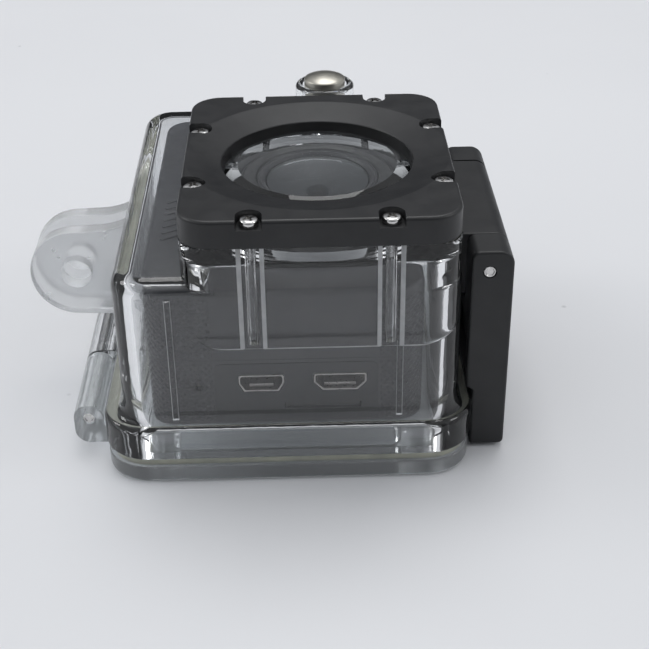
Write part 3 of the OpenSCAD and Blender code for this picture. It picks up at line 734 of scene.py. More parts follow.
@dataclass
class PushButton:
    """A sprung housing button: collar, plunger, spring, seal, clip, and the camera key under it."""

    name: str
    axis: str
    key_finish: Finish
    collar_h: float = 3.4
    collar_r: float = 5.1
    bore_r: float = 3.85
    cap_r: float = 3.55
    cap_proud: float = 0.8
    stem_r: float = 1.2
    floor_t: float = 2.0
    spring_len: float = 2.6
    spring_r: float = 2.2
    wire_r: float = 0.22
    turns: float = 3.5
    key_gap: float = 2.3
    key_out: float = 0.45

    @property
    def place(self) -> np.ndarray:
        """Where the button's axis meets the inner face of the floor that it runs in."""
        low, high = node_box(f"{self.name}_button")
        at = (low + high) / 2
        rise = self.collar_h + self.cap_proud + self.dome_h
        i = "xyz".index(self.axis)
        at[i] = high[i] - self.floor_t - rise
        return at

    @property
    def dome_h(self) -> float:
        """Height of the cap's dome, from its ball's radius."""
        return self.cap_r * (math.sqrt(1 + DOME * DOME) - DOME)

    def put(self, skin: Skin) -> Skin:
        """Turns a skin drawn along +Z to the button's own direction, at its place."""
        x, y, z = self.place
        return skin.aimed(self.axis).moved(x, y, z)

    def collar(self) -> Skin:
        """The clear collar as a solid, with rounded rim, rooted inside the wall that it stands on."""
        top, r = self.floor_t + self.collar_h, self.collar_r
        root = COLLAR_ROOT[self.axis]
        return self.put(lathe([(r, root), (r, top - 0.7), *arc(r - 0.7, top - 0.7, 0.7, 15, 90)]))

    def hollow(self) -> Skin:
        """What is taken out of the collar: cap room, seal groove and stem bore in one profile."""
        top, s, g = self.floor_t + self.collar_h + 1, self.stem_r + 0.05, self.stem_r + 0.85
        return self.put(lathe([(s, -0.7), (s, 0.55), (g, 0.55), (g, 1.4), (s, 1.4), (s, self.floor_t),
                               (self.bore_r, self.floor_t), (self.bore_r, top - 1.3),
                               (self.bore_r + 0.4, top - 1),
                               (self.bore_r + 0.4, top)]))

    def plunger(self) -> Skin:
        """The turned plunger: a stem with the clip's neck, and a cap whose rim and dome are arcs."""
        s, low = self.stem_r, -0.92
        foot, top = self.floor_t + self.spring_len, self.floor_t + self.collar_h + self.cap_proud
        ball = self.cap_r * math.sqrt(1 + DOME * DOME)
        rim = math.degrees(math.atan(DOME))
        return self.put(lathe([
            (s - 0.2, low), (s, low + 0.1), (s - 0.25, low + 0.12), (s - 0.25, low + 0.5), (s, low + 0.5),
            (s, foot),
            (self.cap_r - 0.15, foot), (self.cap_r, foot + 0.15), (self.cap_r, top - 0.12),
            (self.cap_r - 0.05, top - 0.02), *arc(0, top - DOME * self.cap_r, ball, rim + 1.5, 89.8, 12),
        ]))

    def spring(self) -> Skin:
        """The return spring: a wire along a helix, closed flat over its first and last half turn."""
        t = np.linspace(0, 1, 140)
        low, high = self.floor_t + self.wire_r + 0.02, self.floor_t + self.spring_len - self.wire_r - 0.02
        rise = np.clip((t - 0.12) / 0.76, 0, 1)
        a = 2 * math.pi * self.turns * t
        path = np.stack([self.spring_r * np.cos(a), self.spring_r * np.sin(a), low + (high - low) * rise], -1)
        return self.put(swept(path, self.wire_r))

    def build(self) -> None:
        """Makes every piece of the button and hands it over."""
        x = self.name
        add_piece(mesh_object(f"{x}_button_metal", self.plunger()), BUTTON_METAL, f"{x}_plunger",
                  f"{x}_button")
        coil = add_piece(mesh_object(f"{x}_button_coil", self.spring()), SPRING_STEEL, "housing",
                         f"{x}_button_spring")
        i = "xyz".index(self.axis)
        way, anchor = np.eye(3)[i], self.place + self.floor_t * np.eye(3)[i]
        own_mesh(coil)
        seal = lathe(arc(self.stem_r + 0.42, 1.0, 0.38, 0, 345, 23), closed=True)
        add_piece(mesh_object(f"{x}_button_oring", self.put(seal)), SEAL_RUBBER, "housing",
                  f"{x}_button_seal")
        dress_node(f"{x}_button_clip", SPRING_STEEL)
        base = -self.key_gap
        r = (node_box(f"{x}_key")[1] - node_box(f"{x}_key")[0]).max() / 2 - 0.4
        key = lathe([(r + 0.4, base - 2.1), (r + 0.4, base - 1.6), (r, base - 1.55),
                     (r, base + self.key_out - 0.15),
                     *arc(r - 0.15, base + self.key_out - 0.15, 0.15, 0, 90, 3),
                     (r * 0.6, base + self.key_out - 0.06),
                     (0.02, base + self.key_out - 0.1)], 64)
        add_piece(mesh_object(f"{x}_camera_button", self.put(key)), self.key_finish, f"{x}_camera_key",
                  f"{x}_key")


@dataclass
class Housing:
    """The clear shell: body, sealing flange, lens tower, collars, hinge knuckle and mount fingers."""

    buttons: list[PushButton]
    body: tuple[float, float, float, float] = (-30.3, -22.2, 20.5, 44.0)
    flange: tuple[float, float, float, float] = (-33.4, -23.5, 22.8, 45.3)
    flange_z: tuple[float, float] = (4.3, 9.9)
    front_z: float = 34.0
    body_r: float = 5.0
    flange_r: float = 7.0
    edge_r: float = 2.6
    wall: float = 2.4
    tower_half: tuple[float, float] = (20.0, 22.9)
    tower_z: tuple[float, float] = (23.1, 39.7)
    tower_r: float = 4.1
    step_r: float = 3.0
    step_lip: float = 0.5
    groove_mouth: float = 3.9
    groove_floor: float = 2.6
    groove_d: float = 0.5
    seat_r: float = 16.4
    opening_r: float = 14.5
    screw_at: tuple[tuple[float, float], tuple[float, float]] = ((9.85, 21.32), (18.13, 10.0))
    channels: tuple[tuple[float, float], tuple[float, float]] = ((-22.1, 30.5), (11.4, 23.1))
    channel_w: float = 0.95
    channel_d: float = 0.5
    knuckle_r: float = 2.4
    knuckle_y: tuple[float, float] = (2.2, 19.6)
    finger_r: float = 7.5
    hole_r: float = 2.5

    def outside(self) -> Skin:
        """Body and flange in one loft: rings slide from the flange's outline to the body's, then draw in at
        the front edge.
        """
        steps = 12
        fc, fw = rect_frame(*self.flange, self.flange_r, steps)
        bc, bw = rect_frame(*self.body, self.body_r, steps)
        z0, z1 = self.flange_z
        low, high = edge_profile(z0, z1, 0.5, 1.1)
        rings = [np.c_[fc + (self.flange_r - i) * fw, np.full(len(fc), z)] for i, z in zip(low, high)]
        blend = lambda t: (1 - t) * (fc + (self.flange_r - 1.1) * fw) + t * (bc + self.body_r * bw)
        slope = [(0.35, z1 + 0.25), (0.62, z1 + 0.6), (0.82, z1 + 1.1), (0.94, z1 + 1.8), (1.0, z1 + 2.8)]
        rings += [np.c_[blend(t), np.full(len(bc), z)] for t, z in slope]
        a = np.radians(np.linspace(0, 90, 11))
        for i, z in zip(self.edge_r * (1 - np.cos(a)), self.front_z - self.edge_r + self.edge_r * np.sin(a)):
            rings.append(np.c_[bc + (self.body_r - i) * bw, np.full(len(bc), z)])
        return loft(np.stack(rings))

    def tower(self) -> Skin:
        """The lens tower: half widths shrink near its foot by quarter circles, so its lower corners are
        round.
        """
        hx, hy = self.tower_half
        z0, z1 = self.tower_z
        rise = np.concatenate([np.linspace(0, 1, 9) ** 2 * self.step_r, [z1 - z0]])
        foot = np.clip(self.step_r - rise, 0, None)
        w = hx - self.step_r + np.sqrt(self.step_r ** 2 - foot ** 2)
        lip = self.step_lip
        y_in = lip - np.sqrt(lip ** 2 - np.clip(lip - rise, 0, None) ** 2)
        rings = []
        for half, inset, up in zip(w, y_in, rise):
            outline = rect_outline(-half, -hy + inset, half, hy - inset, self.tower_r, 10)
            rings.append(np.c_[outline, np.full(len(outline), z0 + up)])
        return loft(np.stack(rings))

    def groove_cut(self, x: float) -> Skin:
        """A groove's cutter: a flat floor whose sides slope out to a wider mouth on the tower's near wall.

        Args:
            x: X of the groove's middle.

        Returns:
            The cutter.
        """
        mouth, floor, y = self.groove_mouth / 2, self.groove_floor / 2, -self.tower_half[1]
        half = [(mouth, y - 2), (mouth, y), (floor, y + self.groove_d)]
        outline = np.array([*half, *[(-px, py) for px, py in reversed(half)]]) + np.array([x, 0])
        rings = [np.c_[outline, np.full(len(outline), z)] for z in (self.tower_z[0] - 2, self.tower_z[1] + 2)]
        return loft(np.stack(rings))

    def channel_cut(self, x: float, top: float) -> Skin:
        """The cutter of a shallow channel up the inside of the near wall."""
        y, half = self.body[1] + self.wall, self.channel_w / 2
        return block((x - half, y - self.channel_d, self.flange_z[1]), (x + half, y + 1, top), 0.12, 0.1,
                     0.1, 3)

    def screw_places(self) -> list[tuple[float, float]]:
        """Axes of the eight plate screws."""
        return [(sx * x, sy * y) for x, y in self.screw_at for sx in (-1, 1) for sy in (-1, 1)]

    def knuckle(self) -> Skin:
        """The middle hinge knuckle: a round barrel with a web to the flange."""
        low, high = node_box("hinge_pin")
        x, z, r = (low[0] + high[0]) / 2, (low[2] + high[2]) / 2, self.knuckle_r
        outline = np.array([*arc(x, z, r, 90, 300, 16), (self.flange[0] + 0.6, z - 1.2),
                            (self.flange[0] + 0.6, z + r)])
        return extrusion(outline, *self.knuckle_y, 0.25)

    def shell(self) -> bpy.types.Object:
        """The whole shell: solids added, then the camera's room, grooves, seat and bores taken out."""
        obj = mesh_object("clear_housing", self.outside())
        change(obj, Cut.ADD, self.tower(), self.knuckle(), *[b.collar() for b in self.buttons])
        x0, y0, x1, y1 = self.body
        w, top = self.wall, self.tower_z[1]
        room = block((x0 + w + 0.1, y0 + w, self.flange_z[0] - 2),
                     (x1 - w - 0.1, y1 - w, self.front_z - 2.1), 2.8, 0.8, 0)
        hx, hy = self.tower_half
        attic = block((w - hx, y0 + w, self.front_z - 4), (hx - w, hy - w, top - 3.5), 2.8, 0.8, 0)
        change(obj, Cut.TAKE, room, attic, cylinder(self.seat_r, top - 2, top + 3, 128),
               cylinder(self.opening_r, top - 5, top + 3, 128))
        change(obj, Cut.TAKE, *[self.groove_cut(sx * self.screw_at[0][0]) for sx in (-1, 1)])
        for x, y in self.screw_places():
            deep = self.tower_z[0] + 0.5 if y < -hy + 3 else top - 3.05
            change(obj, Cut.TAKE, cylinder(0.82, deep, top + 2, 24).moved(x, y))
        low, high = node_box("hinge_pin")
        pin = cylinder(0.96, -5, 30, 32).aimed("y").moved((low[0] + high[0]) / 2, 0, (low[2] + high[2]) / 2)
        change(obj, Cut.TAKE, pin, *[b.hollow() for b in self.buttons])
        for b in self.buttons:
            if b.axis == "z":
                change(obj, Cut.TAKE, b.put(cylinder(4.0, -2.2, 0.0, 48)))
            elif b.axis == "y":
                change(obj, Cut.TAKE, b.put(cylinder(2.8, -1.2, 0.0, 48)))
        return change(obj, Cut.TAKE, *[self.channel_cut(x, z) for x, z in self.channels])

    def finger(self, y0: float, y1: float) -> Skin:
        """One mount finger: a round end, straight flanks and a root that flares into the body's wall.

        Args:
            y0: Y of its near side.
            y1: Y of its far side.

        Returns:
            The closed surface.
        """
        low, high = node_box("mount_fingers")
        r = self.finger_r
        x, z = low[0] + r, (low[2] + high[2]) / 2 - 0.2
        root = self.body[0]
        flare = lambda s, n: [(root - 5.5 + 5.5 * t, z + s * (r + 0.15 + n * t ** 2)) for t in np.linspace(0,
                1, 7)]
        outline = np.array([*arc(x, z, r, 92, 268, 26), *flare(-1, 1.0), *flare(1, 1.4)[::-1]])
        return extrusion(outline, y0, y1, 0.35)

    def fingers(self) -> bpy.types.Object:
        """Both mount fingers, with the thumbscrew's hole through them."""
        low, high = node_box("mount_fingers")
        t = 3.0
        obj = mesh_object("clear_mount_fingers", self.finger(low[1],
                low[1] + t).with_(self.finger(high[1] - t, high[1])))
        x, z = low[0] + self.finger_r, (low[2] + high[2]) / 2 - 0.2
        return change(obj, Cut.TAKE, cylinder(self.hole_r, low[1] - 1, high[1] + 1, 64).aimed("y").moved(x,
                0, z))

    def painted_highlight_faces(self, middle: np.ndarray, normal: np.ndarray) -> np.ndarray:
        """Picks the narrow faces that get a whitish frosted finish as a painted highlight: the grooves'
        sloping sides, the tower's ledge and the channels' sides.

        Args:
            middle: middles of the faces, in millimetres.
            normal: their unit normals.

        Returns:
            True for each face that gets the painted highlight.
        """
        x, y, z = middle.T
        across = np.abs(normal[:, 0])
        near, foot = -self.tower_half[1], self.tower_z[0]
        off = np.abs(np.abs(x) - self.screw_at[0][0])
        between = (off < self.groove_mouth / 2) & (off > self.groove_floor / 2)
        groove = between & (y < near + self.groove_d) & (z > foot) & (across > 0.3)
        ledge = (z < foot + self.step_lip) & (z > foot - 0.05) & (y < self.body[1] - 0.02) & (normal[:,
                2] < -0.05)
        inside = self.body[1] + self.wall
        run = np.min([np.abs(x - at) for at, _ in self.channels], axis=0) < self.channel_w / 2 + 0.05
        channel = run & (y > inside - self.channel_d - 0.05) & (y < inside + 0.02) & (across > 0.3)
        return groove | ledge | channel

    def build(self) -> None:
        """Makes the shell, its narrow edges with a painted highlight, and the fingers."""
        shell = add_piece(self.shell(), CLEAR_SHELL, "housing", "housing_shell", smooth=28, flat_faces=True)
        # The whitish second finish on the narrow edges is a painted highlight.
        second_finish(shell, FROSTED_PAINTED_HIGHLIGHT, self.painted_highlight_faces)
        add_piece(self.fingers(), CLEAR_FINGERS, "housing", "mount_fingers", smooth=28, flat_faces=True)


# ---------- lens window ----------


@dataclass
class LensWindow:
    """The black plate, its screws, the bevelled window and the gasket under it."""

    screws: list[tuple[float, float]]
    corner_r: float = 4.8
    opening_r: float = 14.5
    dish_r: float = 20.0
    dish_d: float = 1.2
    pocket_r: float = 1.85
    pocket_d: float = 1.45
    head_r: float = 1.38
    head_h: float = 1.1
    thread_r: float = 0.75
    pitch: float = 0.6
    thread_len: float = 5.6

    def pocket(self, x: float, y: float, top: float) -> Skin:
        """A screw's pocket, drawn out straight to the plate's nearest side.

        Args:
            x: X of the screw.
            y: Y of the screw.
            top: height of the plate's top.

        Returns:
            The cutter.
        """
        r, reach = self.pocket_r, 6.0
        lo, hi = np.array([x - r, y - r]), np.array([x + r, y + r])
        i = 0 if abs(x) > abs(y) else 1
        if (x, y)[i] > 0:
            hi[i] += reach
        else:
            lo[i] -= reach
        return block((*lo, top - self.pocket_d), (*hi, top + 1), r - 0.01, 0.05, 0.1, 10)

    def plate(self) -> bpy.types.Object:
        """The plate with its opening, the shallow cone round it, and eight pockets."""
        low, high = node_box("lens_plate")
        top = high[2]
        obj = mesh_object("black_lens_plate", block(low, high, self.corner_r, 0.55, 0.25, 10))
        bore = lathe([(self.opening_r, low[2] - 1), (self.opening_r, top - self.dish_d - 0.12),
                      (self.opening_r + 0.1, top - self.dish_d), (self.dish_r - 0.15, top - 0.03),
                      (self.dish_r + 0.35, top + 0.01), (self.dish_r + 0.35, top + 1)], 160)
        change(obj, Cut.TAKE, bore, *[self.pocket(x, y, top) for x, y in self.screws])
        return soften(obj, 0.12, 2, 45)

    def screw(self, x: float, y: float, turn: float) -> bpy.types.Object:
        """A pan-head screw: domed head with a cross recess, and a shank whose radius follows its thread's
        helix.

        Args:
            x: X of its axis.
            y: Y of its axis.
            turn: turn of its cross, in radians.

        Returns:
            The screw, still in millimetres.
        """
        base = node_box("lens_plate")[1][2] - self.pocket_d
        r, h = self.head_r, self.head_h
        head = mesh_object("head", lathe([(0.4, base), (r - 0.05, base), (r, base + 0.08), (r,
                                                                                            base + h - 0.5),
                                          *arc(r - 0.42, base + h - 0.5, 0.42, 12, 78, 5),
                                          *arc(0, base + h - 6, 6, 83, 89.8, 3)], 40))
        arms = [box((-0.86, -0.22, base + h - 0.75), (0.86, 0.22, base + h + 1)),
                box((-0.22, -0.86, base + h - 0.75), (0.22, 0.86, base + h + 1))]
        for arm in arms:
            c, s = math.cos(turn), math.sin(turn)
            arm.points = arm.points @ np.array([[c, s, 0], [-s, c, 0], [0, 0, 1]])
        change(head, Cut.TAKE, *arms, lathe([(0.2, base + h - 0.75), (0.42, base + h - 0.25), (0.5,
                base + h + 1)], 16))
        a = np.linspace(0, 2 * math.pi, 20, endpoint=False)[None, :]
        z = np.linspace(-self.thread_len, 0.05, 68)[:, None]
        turns = (z / self.pitch - a / (2 * math.pi)) % 1.0
        radius = self.thread_r - 0.16 + 0.32 * np.abs(turns - 0.5)
        radius = radius * np.clip((z + self.thread_len) / 0.6 + 0.35, 0, 1)
        rings = np.stack([radius * np.cos(a), radius * np.sin(a), base + z + 0 * a], -1)
        head.data.transform(Matrix.Translation((x, y, 0)))
        shank = mesh_object("shank", loft(rings).moved(x, y))
        with bpy.context.temp_override(active_object=head, selected_editable_objects=[head, shank]):
            bpy.ops.object.join()
        return head

    def build(self) -> None:
        """Makes the plate, the screws as one piece, the window and its gasket."""
        add_piece(self.plate(), BLACK_SATIN, "housing", "lens_plate", smooth=34, flat_faces=True)
        made = [self.screw(x, y, 0.5 + 1.7 * i) for i, (x, y) in enumerate(self.screws)]
        with bpy.context.temp_override(active_object=made[0], selected_editable_objects=made):
            bpy.ops.object.join()
        made[0].name = "steel_plate_screws"
        add_piece(made[0], SCREW_STEEL, "housing", "plate_screws")
        low, high = node_box("window_glass")
        rim, top, z0 = high[0], high[2], low[2]
        glass = lathe([(0.02, z0), (rim - 0.1, z0), (rim, z0 + 0.1), (rim, z0 + 1.0), (rim - 0.1, z0 + 1.1),
                       (14.1, z0 + 1.15), (14.1, top - 1.15), *arc(14.0, top - 1.15, 0.1, 0, 60, 2),
                       *arc(12.0, top - 0.15, 0.15, 62, 90, 2), (0.02, top)], 160)
        add_piece(mesh_object("bevelled_window", glass), WINDOW, "housing", "window_glass", smooth=20)
        low, high = node_box("window_gasket")
        r0, r1, z, h = 14.7, high[0], (low[2] + high[2]) / 2, (high[2] - low[2]) / 2
        ring = lathe([*arc(r1 - h, z, h, -90, 90, 6), *arc(r0 + h, z, h, 90, 270, 6)], 128, closed=True)
        add_piece(mesh_object("rubber_window_gasket", ring), SEAL_RUBBER, "housing", "window_gasket")


# ---------- back door ----------


@dataclass
class BackDoor:
    """The clear door, its seal and the hinge pin."""

    panel_t: float = 3.0
    corner_r: float = 6.8
    knuckle_r: float = 2.4
    outer: tuple[float, float, float, float] = (-33.2, -23.3, 22.5, 45.1)
    plug: tuple[float, float, float, float] = (-27.4, -19.5, 17.7, 41.3)
    recess: tuple[float, float, float, float] = (-23.1, -16.5, 12.1, 36.8)
    spans: tuple[tuple[float, float], tuple[float, float]] = ((-14.0, 2.0), (19.8, 35.8))

    def knuckle(self, y0: float, y1: float) -> Skin:
        """An outer knuckle: a barrel round the pin, joined down to a foot that runs into the panel.

        Args:
            y0: Y of its first end.
            y1: Y of its other end.

        Returns:
            The closed surface.
        """
        low, high = node_box("hinge_pin")
        x, z, r = (low[0] + high[0]) / 2, (low[2] + high[2]) / 2, self.knuckle_r
        foot = 1.1 + r
        outline = np.array([*arc(x, z, r, -15, 180, 16), *arc(x, foot, r, 180, 270, 8),
                            (self.outer[0] + 1.2, 1.1), (self.outer[0] + 1.2, self.panel_t),
                            *arc(x + r + 0.9, self.panel_t + 0.9, 0.9, 270, 180, 4)])
        return extrusion(outline, y0, y1, 0.3)

    def panel(self) -> bpy.types.Object:
        """The panel with rounded outer edge, its raised plug with the recess in it, and the knuckles."""
        x0, y0, x1, y1 = self.outer
        top = node_box("door_panel")[1][2]
        plug_top = node_box("camera_rear_shell")[0][2] - 0.5
        obj = mesh_object("clear_back_door", block((x0, y0, 0), (x1, y1, self.panel_t), self.corner_r, 0.35,
                                                   0.9, 12))
        p, r = self.plug, self.recess
        change(obj, Cut.ADD, block((p[0], p[1], 1), (p[2], p[3], plug_top), 2.8, 0.3, 0.1),
               *[self.knuckle(a, b) for a, b in self.spans])
        change(obj, Cut.TAKE, block((r[0], r[1], self.panel_t), (r[2], r[3], top + 5), 2, 0.1, 0.6))
        low, high = node_box("hinge_pin")
        hole = cylinder(1.0, low[1] - 3, high[1] + 3, 40).aimed("y")
        return change(obj, Cut.TAKE, hole.moved((low[0] + high[0]) / 2, 0, (low[2] + high[2]) / 2))

    def seal(self) -> Skin:
        """The soft seal: a profile with two round lips, carried round the door's plug."""
        low, high = node_box("door_gasket")
        inner, ways = rect_frame(self.plug[0] - 0.1, self.plug[1] - 0.1, self.plug[2] + 0.1,
                                 self.plug[3] + 0.1, 2.8)
        outer, _ = rect_frame(low[0], low[1], high[0], high[1], 6)
        inner, outer = inner + 2.8 * ways, outer + 6 * ways
        z0, h = low[2], high[2] - low[2]
        profile = [(0, 0), (1, 0), (1.0, 0.35), (0.97, 0.8), (0.86, 1.0), (0.72, 0.8), (0.5, 0.62),
                   (0.28, 0.8), (0.12, 1.0), (0.0, 0.7)]
        rings = [np.c_[inner + t * (outer - inner), np.full(len(inner), z0 + h * u)] for t, u in profile]
        return loft(np.stack(rings), closed=True)

    def build(self) -> None:
        """Makes the door, its seal and the pin."""
        add_piece(self.panel(), CLEAR_DOOR, "door", "door_panel", smooth=28, flat_faces=True)
        add_piece(mesh_object("soft_door_seal", self.seal()), DOOR_SEAL, "door", "door_gasket", smooth=50)
        add_piece(mesh_object("steel_hinge_pin", pin_skin("hinge_pin")), PIN_STEEL, "housing", "hinge_pin")


def pin_skin(node: str) -> Skin:
    """A steel pin along +Y with turned, chamfered ends, over a node's own size.

    Args:
        node: name of the pin's node.

    Returns:
        The closed surface.
    """
    low, high = node_box(node)
    r, x, z = (high[0] - low[0]) / 2, (low[0] + high[0]) / 2, (low[2] + high[2]) / 2
    a, b = low[1], high[1]
    profile = [(r * 0.6, a + 0.12), (r * 0.7, a), (r - 0.12, a), (r, a + 0.15), (r, b - 0.15), (r - 0.12, b),
               (r * 0.7, b), (r * 0.6, b - 0.12)]
    return lathe(profile, 40).aimed("y").moved(x, 0, z)


# ---------- latch ----------


@dataclass
class Latch:
    """The black latch: a lever with two cheeks, the fixed block between them, and their pin."""

    left: float = 22.0
    right: float = 28.3
    top: float = 34.6
    bottom: float = 0.5
    cheek: float = 5.8
    gap: float = 0.2
    corner_r: float = 2.2
    inner_r: float = 1.2
    wall: float = 2.3
    foot_left: float = 23.0
    foot_top: float = 11.0

    def section(self) -> np.ndarray:
        """The lever's outline in XZ: rounded outer corners, a relieved foot that clears the flange."""
        r, i = self.corner_r, self.inner_r
        return np.array([
            *arc(self.right - r, self.top - r, r, 0, 90, 10),
            *arc(self.left + i, self.top - i, i, 90, 180, 6),
            (self.left, self.foot_top + 0.6), (self.left + 0.2, self.foot_top + 0.15),
            (self.foot_left, self.foot_top - 0.2),
            *arc(self.foot_left + 0.3, self.bottom + 0.3, 0.3, 180, 270, 3),
            *arc(self.right - 0.8, self.bottom + 0.8, 0.8, 270, 360, 5),
        ])

    def lever(self) -> bpy.types.Object:
        """The lever: the section carried along Y, less the gap for the block, the hollow and the pin's
        hole.
        """
        low, high = node_box("latch_lever")
        block_low = node_box("latch_bracket")[0][2]
        obj = mesh_object("black_latch_lever", extrusion(self.section(), low[1], high[1], 0.4))
        notch = box((self.left - 2, low[1] + self.cheek, block_low - 0.7),
                    (self.right + 2, high[1] - self.cheek, self.top + 2))
        hollow = block((self.left - 4, low[1] + 2, self.bottom + 1.2),
                       (self.right - self.wall, high[1] - 2, block_low - 3), 0.8, 0.3, 0.3)
        pin_low, pin_high = node_box("latch_pin")
        x, z = (pin_low[0] + pin_high[0]) / 2, (pin_low[2] + pin_high[2]) / 2
        change(obj, Cut.TAKE, notch, hollow, cylinder(1.0, low[1] - 1, high[1] + 1, 40).aimed("y").moved(x,
                0, z))
        return soften(obj, 0.22, 3, 40)

    def block_skin(self) -> Skin:
        """The fixed block between the cheeks, with the same rounded outer corners."""
        low, high = node_box("latch_bracket")
        r, z0, z1 = 2.2, low[2], high[2]
        outline = np.array([
            *arc(self.right - r, z1 - r, r, 0, 90, 10), (low[0] + 0.9, z1), (low[0] + 0.25, z1 - 0.6),
            (low[0] + 0.05, z1 - 1.6),
            (low[0], z0 + 0.3), (low[0] + 0.3, z0), *arc(self.right - r, z0 + r, r, 270, 360, 10),
        ])
        return extrusion(outline, low[1], high[1], 0.3)

    def build(self) -> None:
        """Makes the lever, the block and the pin."""
        add_piece(self.lever(), BLACK_LATCH, "latch", "latch_lever", smooth=34, flat_faces=True)
        add_piece(mesh_object("black_latch_block", self.block_skin()), BLACK_LATCH, "housing",
                  "latch_bracket", flat_faces=True)
        add_piece(mesh_object("steel_latch_pin", pin_skin("latch_pin")), PIN_STEEL, "housing", "latch_pin")


# ---------- camera ----------


@dataclass
class Socket:
    """A metal socket with a tongue, its opening narrower along the lower edge."""

    node: str
    x: float
    width: float
    height: float
    step: float
    z: float = 16.0
    wall: float = 0.22
    depth: float = 5.8

    def outline(self, grow: float = 0.0) -> np.ndarray:
        """The opening's outline, anticlockwise, grown or shrunk all round.

        Args:
            grow: how far it is grown all round.

        Returns:
            The outline's points.
        """
        w, h = self.width / 2 + grow, self.height / 2 + grow
        s = self.step
        c = 0.35
        return np.array([
            *arc(self.x + w - c, self.z + h - c, c, 0, 90, 4),
            *arc(self.x - w + c, self.z + h - c, c, 90, 180, 4),
            (self.x - w, self.z), (self.x - w + s, self.z - h), (self.x + w - s, self.z - h),
            (self.x + w, self.z),
        ])

    def build(self, face: float) -> None:
        """Makes the socket's wall, back and tongue as one piece, opening at the given Y.

        Args:
            face: Y of the opening.
        """
        wall = tube_wall(self.outline(), self.outline(-self.wall), face, face + self.depth)
        back = extrusion(self.outline(-0.05), face + self.depth - 0.6, face + self.depth, 0.05)
        t = self.width / 2 - 1.5
        low = self.z - self.height / 2 + self.wall + 0.15
        tongue = block((self.x - t, face + 0.7, low), (self.x + t, face + self.depth - 0.3, low + 0.55),
                       0.15, 0.08, 0.08, 3)
        add_piece(mesh_object(f"{self.node}_shell", wall.with_(back, tongue)), SOCKET_STEEL, "housing",
                  self.node)


